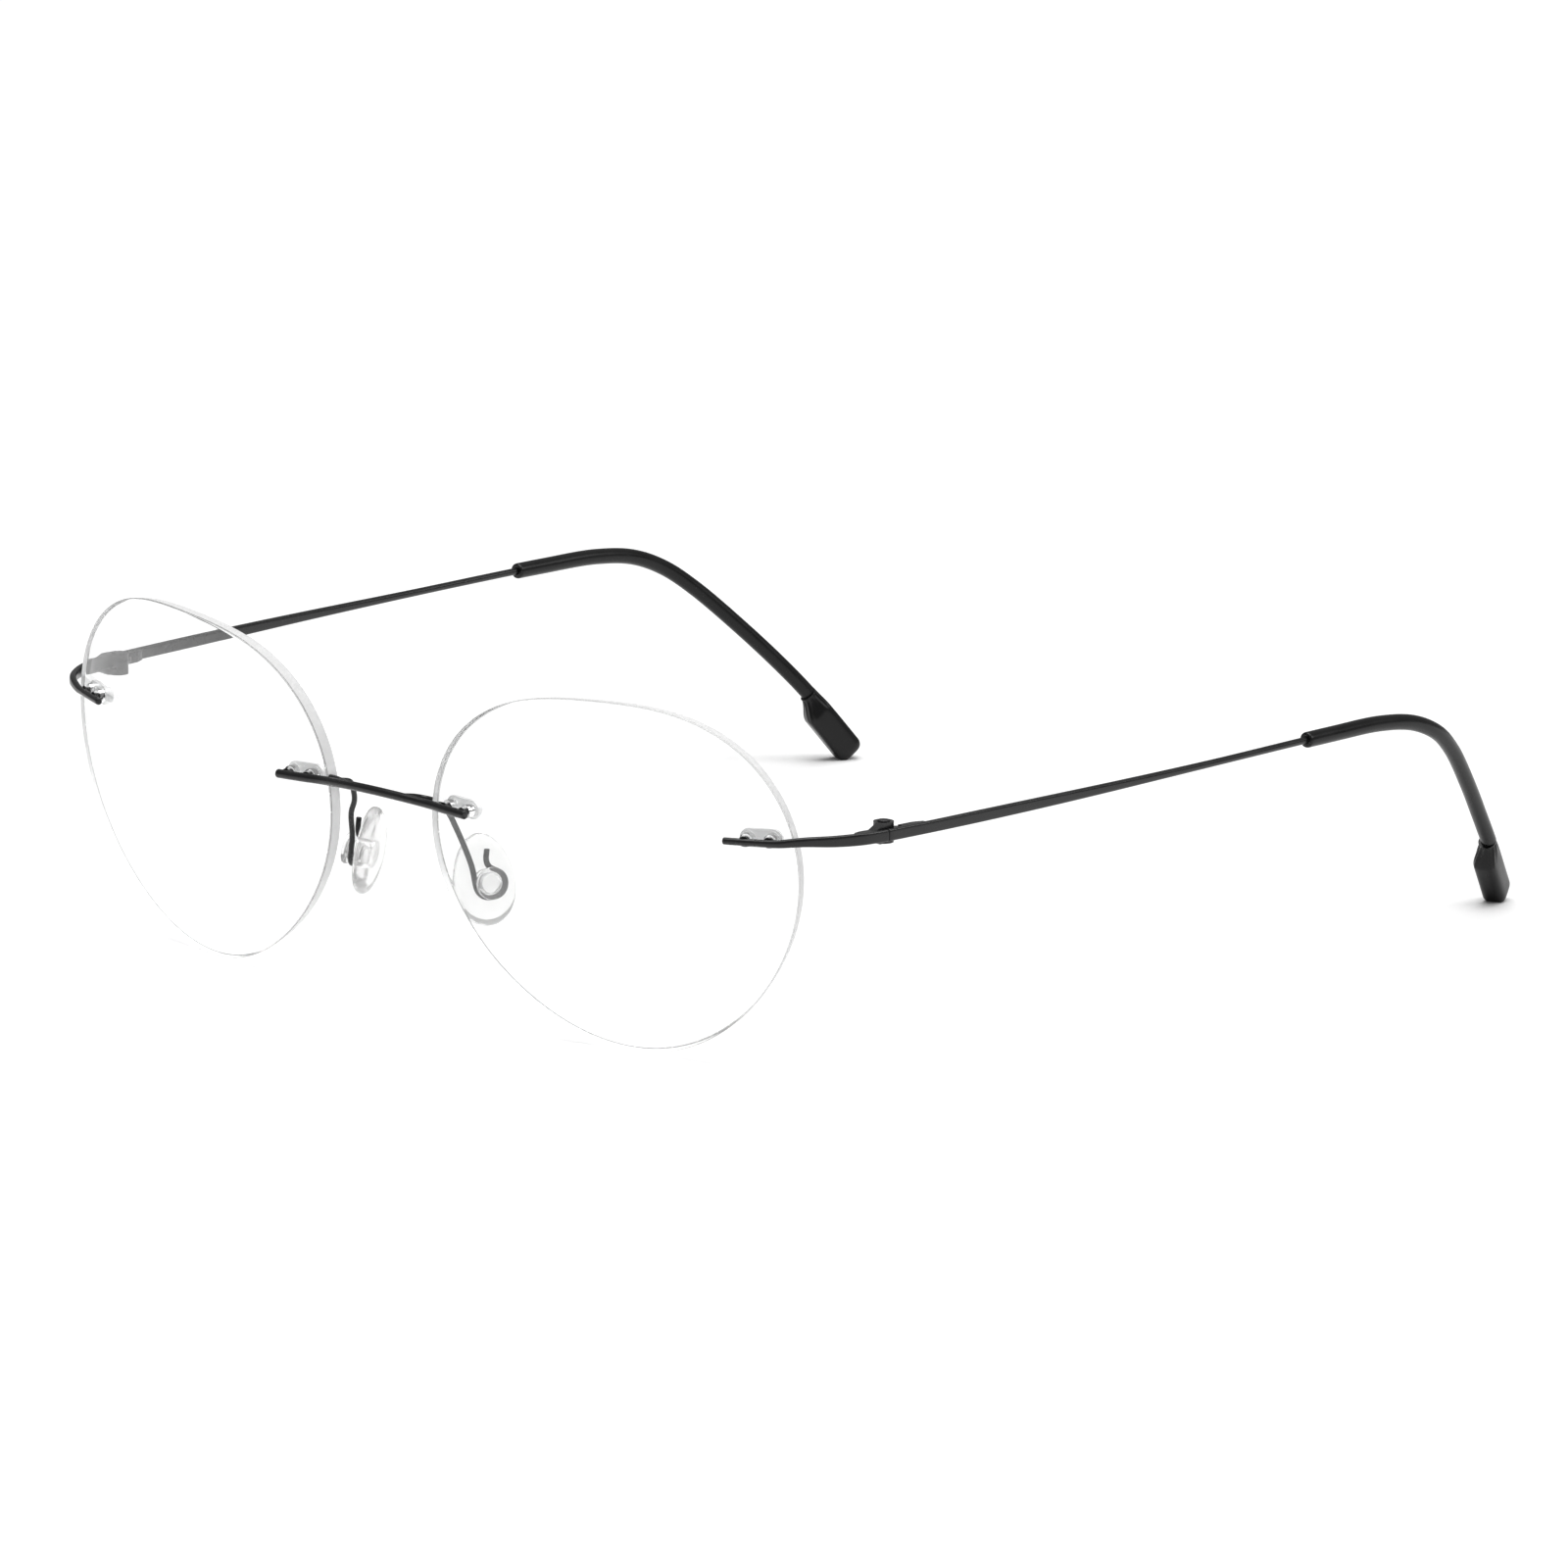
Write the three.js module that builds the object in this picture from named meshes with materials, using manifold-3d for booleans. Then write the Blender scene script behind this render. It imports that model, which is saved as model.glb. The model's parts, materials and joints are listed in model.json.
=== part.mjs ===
// Rimless eyeglasses: two drilled lenses carried by a wire bridge and two wire endpieces, straight
// temples on three-knuckle hinges, and silicone nose pads clipped into open wire rings.
//
// Millimetres. +X is the wearer's left, -Y is the front, +Z is up and the floor is z = 0. The glasses
// stand on the bottom edges of the lenses and on the ends of the temple tips. Every piece of the left
// side is built in place, and the right side is its mirror image in the plane x = 0.

import * as THREE from "three";
import { mergeVertices } from "three/addons/utils/BufferGeometryUtils.js";
import Module from "manifold-3d";

const wasm = await Module();
wasm.setup();

// ---------------------------------------------------------------- driving dimensions

// Running gap between pieces that touch on the real object.
const FIT_GAP = 0.06;

// The wires stand this far off the front of the lenses, on the collars of their pins.
const STAND_OFF = 0.45;

const LENS = {
  centreX: 36.9,
  centreY: -4.6,
  wrap: THREE.MathUtils.degToRad(10.4),
  tilt: THREE.MathUtils.degToRad(6.9),
  faceRadius: 94,
  thickness: 2.0,
  bevel: 0.18,
  // Outline radius = mean + oval cos 2a + brow sin 3a + nasal cos 3a, for the angle a from the temple.
  meanRadius: 25.25,
  ovalLobe: 2.15,
  browLobe: 0.95,
  nasalLobe: -0.29,
  outlinePoints: 56,
};

const PIN = { radius: 0.4, collarRadius: 0.62, sides: 10 };
const SLEEVE = {
  barrelRadius: 0.8,
  plateRadius: 1.2,
  plateThickness: 0.4,
  domeRadius: 0.98,
  domeHeight: 0.6,
  frontRecess: 0.3,
};

const BRIDGE = {
  wireRadius: 0.57,
  height: 4.7,
  endAcross: -20.4,
  pinAcross: [-24.7, -21.5],
  archRise: 0.5,
  archReach: 0.9,
};

const ENDPIECE = {
  wireRadius: 0.46,
  height: 6.75,
  startAcross: 17.9,
  pinAcross: [20.5, 23.6],
  endY: 13.7,
};

// The barrel of each hinge stands behind and inside the joint between endpiece and temple, at their height.
const HINGE = {
  x: 66.75,
  y: 15.1,
  z: 30.95,
  barrelRadius: 1.3,
  knuckleHeight: 0.8,
  knuckleGap: 0.12,
  screwRadius: 0.45,
  screwHeadRadius: 0.8,
  screwHeadHeight: 0.35,
  leafThickness: 0.85,
  leafHeight: 1.4,
  frontLeafY: [9.3, 12.9],
  rearLeafY: [16.7, 20.6],
};

const TEMPLE = {
  startY: 14.0,
  halfHeight: 0.76,
  halfWidth: 0.42,
  wireRadius: 0.46,
  taperStartY: 26,
  taperEndY: 78,
  sleeveY: 90.2,
};

const TIP = {
  radius: 1.02,
  mouthRadius: 0.86,
  mouthChamfer: 0.25,
  coreGap: 0.06,
  shoulderFromEnd: 10.4,
  coreFromEnd: 12.5,
  paddleHalfHeight: 1.9,
  paddleHalfWidth: 1.6,
  shoulderLength: 2.2,
  endRounding: 1.2,
  sides: 12,
};

const PAD = {
  ringCentre: new THREE.Vector3(12.15, 2.2, 17.6),
  towardsNose: new THREE.Vector3(-0.9, 0.41, -0.17).normalize(),
  centreAboveRing: 0.4,
  halfLength: 5.85,
  halfWidth: 3.95,
  thickness: 2.1,
};

const PAD_ARM = {
  wireRadius: 0.36,
  ringRadius: 1.8,
  tailHeight: 4.3,
  footAlong: [0.355, 0.3, 0.25],
  footRise: THREE.MathUtils.degToRad(25),
};

const HUB = {
  flangeRadius: 2.05,
  flangeThickness: 0.6,
  neckRadius: 1.2,
  grooveWidth: 1.4,
  plugRadius: 1.7,
  plugThickness: 0.8,
};

// ---------------------------------------------------------------- materials

function material(name, color, roughness, metalness, extra = {}) {
  const result = new THREE.MeshStandardMaterial({ color, roughness, metalness, ...extra });
  result.name = name;
  return result;
}

const blackMetal = material("satin_black_metal", 0x3a3a3c, 0.38, 0.85);
const clearLens = material("clear_lens", 0xf4f7f7, 0.03, 0, { transparent: true, opacity: 0.2 });
const clearPlastic = material("clear_plastic", 0xe9ecec, 0.12, 0, { transparent: true, opacity: 0.5 });
const silicone = material("clear_silicone", 0xe6e7e5, 0.35, 0, { transparent: true, opacity: 0.6 });
const blackPlastic = material("black_tip_plastic", 0x1c1c1e, 0.32, 0);

// ---------------------------------------------------------------- solid helpers

function toManifold(geometry) {
  const bare = geometry.clone();
  bare.deleteAttribute("normal");
  bare.deleteAttribute("uv");
  const merged = mergeVertices(bare, 1e-5);
  const mesh = new wasm.Mesh({
    numProp: 3,
    vertProperties: new Float32Array(merged.attributes.position.array),
    triVerts: new Uint32Array(merged.index.array),
  });
  return new wasm.Manifold(mesh);
}

function fromManifold(solid) {
  const mesh = solid.getMesh();
  const geometry = new THREE.BufferGeometry();
  geometry.setAttribute("position", new THREE.BufferAttribute(new Float32Array(mesh.vertProperties), 3));
  geometry.setIndex(new THREE.BufferAttribute(new Uint32Array(mesh.triVerts), 1));
  geometry.computeVertexNormals();
  return geometry;
}

function unite(...geometries) {
  const [first, ...rest] = geometries.map(toManifold);
  return fromManifold(rest.reduce((sum, next) => sum.add(next), first));
}

function cut(geometry, ...tools) {
  return fromManifold(tools.reduce((left, tool) => left.subtract(toManifold(tool)), toManifold(geometry)));
}

// Closes a stack of rings into a solid. A ring runs anticlockwise seen from the stack's start, and a ring
// of one point is a pole.
function skin(rings) {
  const vertices = [];
  const triangles = [];
  const starts = rings.map((ring) => {
    const start = vertices.length / 3;
    ring.forEach((point) => vertices.push(point.x, point.y, point.z));
    return start;
  });
  for (let level = 0; level + 1 < rings.length; level += 1) {
    const [low, high] = [rings[level], rings[level + 1]];
    const count = Math.max(low.length, high.length);
    for (let i = 0; i < count; i += 1) {
      const j = (i + 1) % count;
      const [a, b] = [starts[level] + (i % low.length), starts[level] + (j % low.length)];
      const [c, d] = [starts[level + 1] + (j % high.length), starts[level + 1] + (i % high.length)];
      if (low.length > 1) triangles.push(a, c, b);
      if (high.length > 1) triangles.push(a, d, c);
    }
  }
  const geometry = new THREE.BufferGeometry();
  geometry.setAttribute("position", new THREE.Float32BufferAttribute(vertices, 3));
  geometry.setIndex(triangles);
  geometry.computeVertexNormals();
  return geometry;
}

// Sweeps a section along a curve. stations are arc lengths from the curve's start, and sectionAt(s)
// gives the half height, half width, squareness and shift there. The height stays as near +Z as it can.
function sweep(curve, stations, sectionAt, sides = 12) {
  const total = curve.getLength();
  const up = new THREE.Vector3(0, 0, 1);
  const rings = stations.map((s) => {
    const u = THREE.MathUtils.clamp(s / total, 0, 1);
    const centre = curve.getPointAt(u);
    const tangent = curve.getTangentAt(u);
    const side = new THREE.Vector3().crossVectors(tangent, up).normalize();
    const rise = new THREE.Vector3().crossVectors(side, tangent);
    const { height, width, squareness = 2, shiftUp = 0, shiftSide = 0 } = sectionAt(s);
    centre.addScaledVector(side, shiftSide).addScaledVector(rise, shiftUp);
    return Array.from({ length: sides }, (_, i) => {
      const angle = (2 * Math.PI * (i + 0.5)) / sides;
      const across = width * roundedCosine(Math.cos(angle), squareness);
      const above = height * roundedCosine(Math.sin(angle), squareness);
      return centre.clone().addScaledVector(side, across).addScaledVector(rise, above);
    });
  });
  const middle = (ring) => ring
    .reduce((sum, point) => sum.add(point), new THREE.Vector3())
    .divideScalar(ring.length);
  return skin([[middle(rings[0])], ...rings, [middle(rings[rings.length - 1])]]);
}

// Superellipse term: squareness 2 is a circle or ellipse, and more is squarer.
function roundedCosine(value, squareness) {
  return Math.sign(value) * Math.abs(value) ** (2 / squareness);
}

function evenly(from, to, count) {
  return Array.from({ length: count + 1 }, (_, i) => from + ((to - from) * i) / count);
}

// Arc lengths for a domed end of the given radius, from the pole inwards.
function domeStations(end, radius, inwards) {
  return [0.03, 0.12, 0.3, 0.6].map((part) => end + inwards * radius * part);
}

// Size factor at a distance from a domed end.
function domeFactor(distance, radius) {
  const rest = 1 - Math.min(distance / radius, 1);
  return Math.sqrt(1 - rest * rest);
}

function cylinder(radius, from, to, sides, endRadius = radius) {
  const axis = new THREE.Vector3().subVectors(to, from);
  const geometry = new THREE.CylinderGeometry(endRadius, radius, axis.length(), sides);
  const turn = new THREE.Quaternion().setFromUnitVectors(new THREE.Vector3(0, 1, 0), axis.clone().normalize());
  geometry.applyQuaternion(turn);
  const centre = from.clone().lerp(to, 0.5);
  return geometry.translate(centre.x, centre.y, centre.z);
}

// ---------------------------------------------------------------- lens surface

const lensTurn = new THREE.Matrix4()
  .makeRotationZ(LENS.wrap)
  .multiply(new THREE.Matrix4().makeRotationX(LENS.tilt));

function outlineRadius(angle) {
  return LENS.meanRadius
    + LENS.ovalLobe * Math.cos(2 * angle)
    + LENS.browLobe * Math.sin(3 * angle)
    + LENS.nasalLobe * Math.cos(3 * angle);
}

function lensNormal(across, up) {
  const sag = LENS.faceRadius - Math.sqrt(LENS.faceRadius ** 2 - across ** 2 - up ** 2);
  return new THREE.Vector3(across, sag - LENS.faceRadius, up)
    .divideScalar(LENS.faceRadius)
    .transformDirection(lensTurn);
}

// A point under the front face of the left lens. Negative depth is in front of the lens.
function lensPoint(across, up, depth) {
  const sag = LENS.faceRadius - Math.sqrt(LENS.faceRadius ** 2 - across ** 2 - up ** 2);
  return new THREE.Vector3(across, sag, up)
    .applyMatrix4(lensTurn)
    .addScaledVector(lensNormal(across, up), -depth)
    .add(lensCentre);
}

function outlineRing(shrink, depth) {
  return Array.from({ length: LENS.outlinePoints }, (_, i) => {
    const angle = (2 * Math.PI * i) / LENS.outlinePoints - Math.PI / 2;
    const radius = outlineRadius(angle) * (1 - shrink);
    return lensPoint(radius * Math.cos(angle), radius * Math.sin(angle), depth);
  });
}

const lensCentre = new THREE.Vector3(LENS.centreX, LENS.centreY, 0);
lensCentre.z = -Math.min(...outlineRing(0, LENS.bevel).map((point) => point.z));

function lensBlank() {
  const bevelShrink = LENS.bevel / LENS.meanRadius;
  const shrinks = [0.62, 0.26, bevelShrink];
  const front = shrinks.map((shrink) => outlineRing(shrink, 0));
  const back = [...shrinks].reverse().map((shrink) => outlineRing(shrink, LENS.thickness));
  return skin([
    [lensPoint(0, 0, 0)],
    ...front,
    outlineRing(0, LENS.bevel),
    outlineRing(0, LENS.thickness - LENS.bevel),
    ...back,
    [lensPoint(0, 0, LENS.thickness)],
  ]);
}

// The two holes of a pin pair are parallel, along the lens normal midway between them.
function pinPair(pinAcross, up) {
  const middle = (pinAcross[0] + pinAcross[1]) / 2;
  const inwards = lensNormal(middle, up).negate();
  const entries = pinAcross.map((across) => lensPoint(across, up, 0));
  return { inwards, entries, middle: lensPoint(middle, up, 0) };
}

const bridgePins = pinPair(BRIDGE.pinAcross, BRIDGE.height);
const endpiecePins = pinPair(ENDPIECE.pinAcross, ENDPIECE.height);

function along(start, direction, distance) {
  return start.clone().addScaledVector(direction, distance);
}

function lens() {
  const holes = [bridgePins, endpiecePins].flatMap(({ inwards, entries }) => entries.map((entry) => cylinder(
    SLEEVE.barrelRadius + FIT_GAP,
    along(entry, inwards, -1),
    along(entry, inwards, LENS.thickness + 1),
    PIN.sides,
  )));
  return cut(lensBlank(), ...holes);
}

// ---------------------------------------------------------------- pins and lens sleeves

const sleeveBack = LENS.thickness + 0.1 + SLEEVE.plateThickness + SLEEVE.domeHeight;

// A pin with a tapered collar between the wire and the lens.
function pin(pair, index) {
  const [entry, inwards] = [pair.entries[index], pair.inwards];
  const head = along(entry, inwards, FIT_GAP - STAND_OFF);
  const shank = cylinder(PIN.radius, head, along(entry, inwards, sleeveBack - 0.35), PIN.sides);
  const collar = cylinder(PIN.collarRadius, head, along(entry, inwards, -FIT_GAP), PIN.sides, PIN.radius);
  return unite(shank, collar);
}

// One moulding: two barrels through the lens, joined by a plate behind it, each with a domed end.
function lensSleeve(pair) {
  const plateFront = LENS.thickness + 0.1;
  const plateBack = plateFront + SLEEVE.plateThickness;
  const barrels = pair.entries.map((entry) => cylinder(
    SLEEVE.barrelRadius,
    along(entry, pair.inwards, SLEEVE.frontRecess),
    along(entry, pair.inwards, plateBack),
    PIN.sides,
  ));
  const domes = pair.entries.map((entry) => dome(entry, pair.inwards, plateFront));
  const bores = pair.entries.map((entry) => cylinder(
    PIN.radius + FIT_GAP,
    along(entry, pair.inwards, -1),
    along(entry, pair.inwards, sleeveBack + 1),
    PIN.sides,
  ));
  return cut(unite(sleevePlate(pair, plateFront), ...barrels, ...domes), ...bores);
}

function dome(entry, inwards, front) {
  const { domeRadius, domeHeight, plateThickness } = SLEEVE;
  const edge = 0.45;
  const points = [new THREE.Vector2(0, 0), new THREE.Vector2(domeRadius, 0)];
  for (const part of evenly(0, 1, 3)) {
    const angle = (part * Math.PI) / 2;
    points.push(new THREE.Vector2(
      domeRadius - edge + edge * Math.cos(angle),
      plateThickness + domeHeight - edge + edge * Math.sin(angle),
    ));
  }
  points.push(new THREE.Vector2(0, plateThickness + domeHeight));
  const geometry = new THREE.LatheGeometry(points, 12);
  const turn = new THREE.Quaternion().setFromUnitVectors(new THREE.Vector3(0, 1, 0), inwards);
  const base = along(entry, inwards, front);
  return geometry.applyQuaternion(turn).translate(base.x, base.y, base.z);
}

// The plate is a stadium around both pins.
function sleevePlate(pair, front) {
  const spacing = pair.entries[0].distanceTo(pair.entries[1]);
  const outline = new THREE.Shape();
  outline.absarc(spacing / 2, 0, SLEEVE.plateRadius, -Math.PI / 2, Math.PI / 2);
  outline.absarc(-spacing / 2, 0, SLEEVE.plateRadius, Math.PI / 2, (3 * Math.PI) / 2);
  const plate = new THREE.ExtrudeGeometry(outline, {
    depth: SLEEVE.plateThickness,
    bevelEnabled: false,
    curveSegments: 6,
  });
  const across = new THREE.Vector3().subVectors(pair.entries[1], pair.entries[0]).normalize();
  const above = new THREE.Vector3().crossVectors(pair.inwards, across).normalize();
  const flatAcross = new THREE.Vector3().crossVectors(above, pair.inwards);
  const centre = along(pair.middle, pair.inwards, front);
  const placed = new THREE.Matrix4().makeBasis(flatAcross, above, pair.inwards).setPosition(centre);
  return plate.applyMatrix4(placed);
}

// ---------------------------------------------------------------- bridge and endpieces

// A wire stands this far in front of the lens, measured to its centre line.
function wirePoint(across, up, radius) {
  return lensPoint(across, up, -(radius + STAND_OFF));
}

function bridgeCurve() {
  const { height, endAcross, pinAcross, archRise, archReach, wireRadius } = BRIDGE;
  const half = [endAcross, (endAcross + pinAcross[0]) / 2, pinAcross[0], pinAcross[0] - 2.2]
    .map((across) => wirePoint(across, height, wireRadius));
  const edge = half[half.length - 1];
  const shoulder = new THREE.Vector3(edge.x * 0.52, edge.y - archReach * 0.62, edge.z + archRise * 0.66);
  const crown = new THREE.Vector3(0, edge.y - archReach, edge.z + archRise);
  const left = [...half, shoulder];
  const right = left.map((point) => new THREE.Vector3(-point.x, point.y, point.z)).reverse();
  return new THREE.CatmullRomCurve3([...left, crown, ...right], false, "centripetal");
}

function bridge() {
  const curve = bridgeCurve();
  const total = curve.getLength();
  const radius = BRIDGE.wireRadius;
  const stations = [
    ...domeStations(0, radius, 1),
    ...evenly(radius, total - radius, 26),
    ...domeStations(total, radius, -1).reverse(),
  ];
  return sweep(curve, stations, (s) => {
    const size = radius * domeFactor(Math.min(s, total - s), radius);
    return { height: size, width: size };
  }, 12);
}

function endpieceCurve() {
  const { height, startAcross, pinAcross, wireRadius, endY } = ENDPIECE;
  const onLens = [startAcross, pinAcross[0], pinAcross[1], pinAcross[1] + 1.3]
    .map((across) => wirePoint(across, height, wireRadius));
  const sweepBack = [
    new THREE.Vector3(64.1, 3.6, HINGE.z),
    new THREE.Vector3(66.4, 6.6, HINGE.z),
    new THREE.Vector3(67.9, 10.0, HINGE.z),
    new THREE.Vector3(68.6, endY, HINGE.z),
  ];
  return new THREE.CatmullRomCurve3([...onLens, ...sweepBack], false, "centripetal");
}

// A round wire on the lens that flattens into a tall bar before the hinge.
function endpiece() {
  const curve = endpieceCurve();
  const total = curve.getLength();
  const radius = ENDPIECE.wireRadius;
  const stations = [...domeStations(0, radius, 1), ...evenly(radius, total, 22)];
  return sweep(curve, stations, (s) => {
    const flat = THREE.MathUtils.smoothstep(s, total * 0.15, total * 0.85);
    const size = domeFactor(s, radius);
    return {
      height: size * THREE.MathUtils.lerp(radius, TEMPLE.halfHeight, flat),
      width: size * THREE.MathUtils.lerp(radius, TEMPLE.halfWidth, flat),
      squareness: THREE.MathUtils.lerp(2, 4, flat),
    };
  }, 16);
}

// ---------------------------------------------------------------- temple line

// From the hinge the temple bows out a little, runs straight back, then turns down and in behind the ear.
const templeCurve = new THREE.CatmullRomCurve3([
  new THREE.Vector3(68.6, TEMPLE.startY, HINGE.z),
  new THREE.Vector3(69.15, 24, HINGE.z),
  new THREE.Vector3(69.75, 48, HINGE.z),
  new THREE.Vector3(69.7, 70, HINGE.z),
  new THREE.Vector3(69.2, 95, HINGE.z + 0.03),
  new THREE.Vector3(68.85, 105, HINGE.z - 0.17),
  new THREE.Vector3(68.5, 111.6, HINGE.z - 1.2),
  new THREE.Vector3(67.9, 116.8, HINGE.z - 3.35),
  new THREE.Vector3(66.6, 121.1, HINGE.z - 6.45),
  new THREE.Vector3(64.0, 127.1, HINGE.z - 12.15),
  new THREE.Vector3(61.4, 132.7, HINGE.z - 18.05),
  new THREE.Vector3(59.7, 136.6, HINGE.z - 22.55),
  new THREE.Vector3(57.3, 142.2, HINGE.z - 29.85),
], false, "centripetal");

// ---------------------------------------------------------------- hinge

const barrelHeight = 3 * HINGE.knuckleHeight + 2 * HINGE.knuckleGap;
const knucklePitch = HINGE.knuckleHeight + HINGE.knuckleGap;

function onHingeAxis(z) {
  return new THREE.Vector3(HINGE.x, HINGE.y, HINGE.z + z);
}

function knuckle(index) {
  const middle = (index - 1) * knucklePitch;
  const half = HINGE.knuckleHeight / 2;
  return cylinder(HINGE.barrelRadius, onHingeAxis(middle - half), onHingeAxis(middle + half), 20);
}

function screwBore() {
  return cylinder(HINGE.screwRadius + FIT_GAP, onHingeAxis(-barrelHeight), onHingeAxis(barrelHeight), 16);
}

function block(corners, z, height) {
  const outline = new THREE.Shape(corners.map(([x, y]) => new THREE.Vector2(x, y)));
  const geometry = new THREE.ExtrudeGeometry(outline, { depth: height, bevelEnabled: false });
  return geometry.translate(0, 0, z - height / 2);
}

// A block with a (y, height) profile above the middle of the hinge, side 1, or below it, side -1.
function sideBlock(profile, side, innerX, outerX) {
  const outline = new THREE.Shape(profile.map(([y, height]) => new THREE.Vector2(y, side * height)));
  const geometry = new THREE.ExtrudeGeometry(outline, { depth: outerX - innerX, bevelEnabled: false });
  const [alongX, alongY, alongZ] = [0, 1, 2].map((axis) => new THREE.Vector3().setComponent(axis, 1));
  geometry.applyMatrix4(new THREE.Matrix4().makeBasis(alongY, alongZ, alongX));
  return geometry.translate(innerX, 0, HINGE.z);
}

// A point beside a bar's centre line at a given y, this far towards the wearer's head.
function beside(curve, y, distance) {
  const u = evenly(0, 1, 400).find((part) => curve.getPointAt(part).y >= y) ?? 1;
  const point = curve.getPointAt(u);
  const tangent = curve.getTangentAt(u);
  const inward = new THREE.Vector2(-tangent.y, tangent.x).normalize();
  return [point.x + inward.x * distance, point.y + inward.y * distance];
}

// The leaves lie against the inner faces of the bars.
const leafFace = TEMPLE.halfWidth + 0.1;

// A welded bar along the inside of the endpiece, with the top and bottom knuckles at its end.
function hingeFrontLeaf() {
  const { x, y, z, barrelRadius, leafThickness, leafHeight, knuckleHeight } = HINGE;
  const [weldStart, weldEnd] = HINGE.frontLeafY;
  const bar = endpieceCurve();
  const faceX = bar.getPointAt(1).x - leafFace;
  const weld = evenly(weldStart, weldEnd, 4);
  const arm = block([
    ...weld.map((at) => beside(bar, at, leafFace)),
    [faceX, y - 1.2],
    [faceX - leafThickness, y - 1.2],
    ...weld.slice(0, -1).reverse().map((at) => beside(bar, at, leafFace + leafThickness)),
  ], z, leafHeight);
  const low = knuckleHeight / 2 + HINGE.knuckleGap;
  const high = barrelHeight / 2;
  const slope = [[y - 3.2, low], [y - 1.5, high], [y - 0.4, high], [y - 0.4, low]];
  const webs = [
    sideBlock(slope, 1, x + 0.1, faceX),
    sideBlock(slope, -1, x + 0.1, faceX - 0.5),
  ];
  const clearance = cylinder(
    barrelRadius + 0.15,
    onHingeAxis(-knuckleHeight / 2 - HINGE.knuckleGap),
    onHingeAxis(knuckleHeight / 2 + HINGE.knuckleGap),
    20,
  );
  const headSeat = cylinder(
    HINGE.screwHeadRadius + FIT_GAP,
    onHingeAxis(barrelHeight / 2 - HINGE.screwHeadHeight * 0.6),
    onHingeAxis(barrelHeight),
    16,
  );
  return cut(unite(cut(arm, clearance), ...webs, knuckle(0), knuckle(2)), screwBore(), headSeat);
}

// A plate welded inside the temple, with the middle knuckle at its front.
function hingeRearLeaf() {
  const { x, y, z, barrelRadius, leafThickness, leafHeight, knuckleHeight } = HINGE;
  const [weldStart, weldEnd] = HINGE.rearLeafY;
  const weld = evenly(weldStart, weldEnd, 3);
  const plate = block([
    ...weld.map((at) => beside(templeCurve, at, leafFace)),
    ...weld.slice(1).reverse().map((at) => beside(templeCurve, at, leafFace + leafThickness)),
  ], z, leafHeight);
  const web = block([
    [x, y - 0.2],
    beside(templeCurve, y + 0.4, leafFace),
    beside(templeCurve, weldStart + 1.4, leafFace),
    beside(templeCurve, weldStart + 1.4, leafFace + leafThickness),
    [x - barrelRadius * 0.97, y + 0.2],
  ], z, knuckleHeight);
  return cut(unite(plate, web, knuckle(1)), screwBore());
}

function hingeScrew() {
  const { screwRadius, screwHeadRadius, screwHeadHeight } = HINGE;
  const seat = barrelHeight / 2 - screwHeadHeight * 0.6 + FIT_GAP;
  const shank = cylinder(screwRadius, onHingeAxis(-barrelHeight / 2 + 0.1), onHingeAxis(seat + 0.1), 16);
  const head = cylinder(screwHeadRadius, onHingeAxis(seat), onHingeAxis(seat + screwHeadHeight), 16);
  const slotTop = seat + screwHeadHeight;
  const slot = new THREE.BoxGeometry(2 * screwHeadRadius + 0.2, 0.26, 0.3);
  slot.rotateZ(THREE.MathUtils.degToRad(35));
  slot.translate(HINGE.x, HINGE.y, HINGE.z + slotTop);
  return cut(unite(shank, head), slot);
}

// ---------------------------------------------------------------- temples and tips

const templeLength = templeCurve.getLength();

// Arc length at which the temple reaches a given y on its straight run.
function templeArcAt(y) {
  const steps = 400;
  const index = evenly(0, 1, steps).findIndex((u) => templeCurve.getPointAt(u).y >= y);
  return (templeLength * index) / steps;
}

const taperStart = templeArcAt(TEMPLE.taperStartY);
const taperEnd = templeArcAt(TEMPLE.taperEndY);
const sleeveStart = templeArcAt(TEMPLE.sleeveY);
const coreEnd = templeLength - TIP.coreFromEnd;
const shoulderStart = templeLength - TIP.shoulderFromEnd;

// The core wire, its bore and the tip around them share these stations, so that their walls stay parallel.
const sleeveStations = evenly(sleeveStart, coreEnd, 18);

function templeSection(s) {
  const round = THREE.MathUtils.smoothstep(s, taperStart, taperEnd);
  return {
    height: THREE.MathUtils.lerp(TEMPLE.halfHeight, TEMPLE.wireRadius, round),
    width: THREE.MathUtils.lerp(TEMPLE.halfWidth, TEMPLE.wireRadius, round),
    squareness: THREE.MathUtils.lerp(4, 2, round),
  };
}

function temple() {
  const blade = evenly(0, sleeveStart - 1, 18);
  return sweep(templeCurve, [...blade, ...sleeveStations], templeSection, TIP.sides);
}

// The paddle grows out of the tube on the side of the bend and on the side of the head only.
function tipSection(s) {
  const mouth = THREE.MathUtils.smoothstep(s, sleeveStart, sleeveStart + TIP.mouthChamfer);
  const paddle = THREE.MathUtils.smoothstep(s, shoulderStart, shoulderStart + TIP.shoulderLength);
  const end = 1 - (1 - domeFactor(templeLength - s, TIP.endRounding)) * 0.7;
  const tube = THREE.MathUtils.lerp(TIP.mouthRadius, TIP.radius, mouth);
  return {
    height: end * THREE.MathUtils.lerp(tube, TIP.paddleHalfHeight, paddle),
    width: end * THREE.MathUtils.lerp(tube, TIP.paddleHalfWidth, paddle),
    squareness: THREE.MathUtils.lerp(2, 3.6, paddle),
    shiftUp: -paddle * (TIP.paddleHalfHeight - TIP.radius),
    shiftSide: -paddle * (TIP.paddleHalfWidth - TIP.radius),
  };
}

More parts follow.
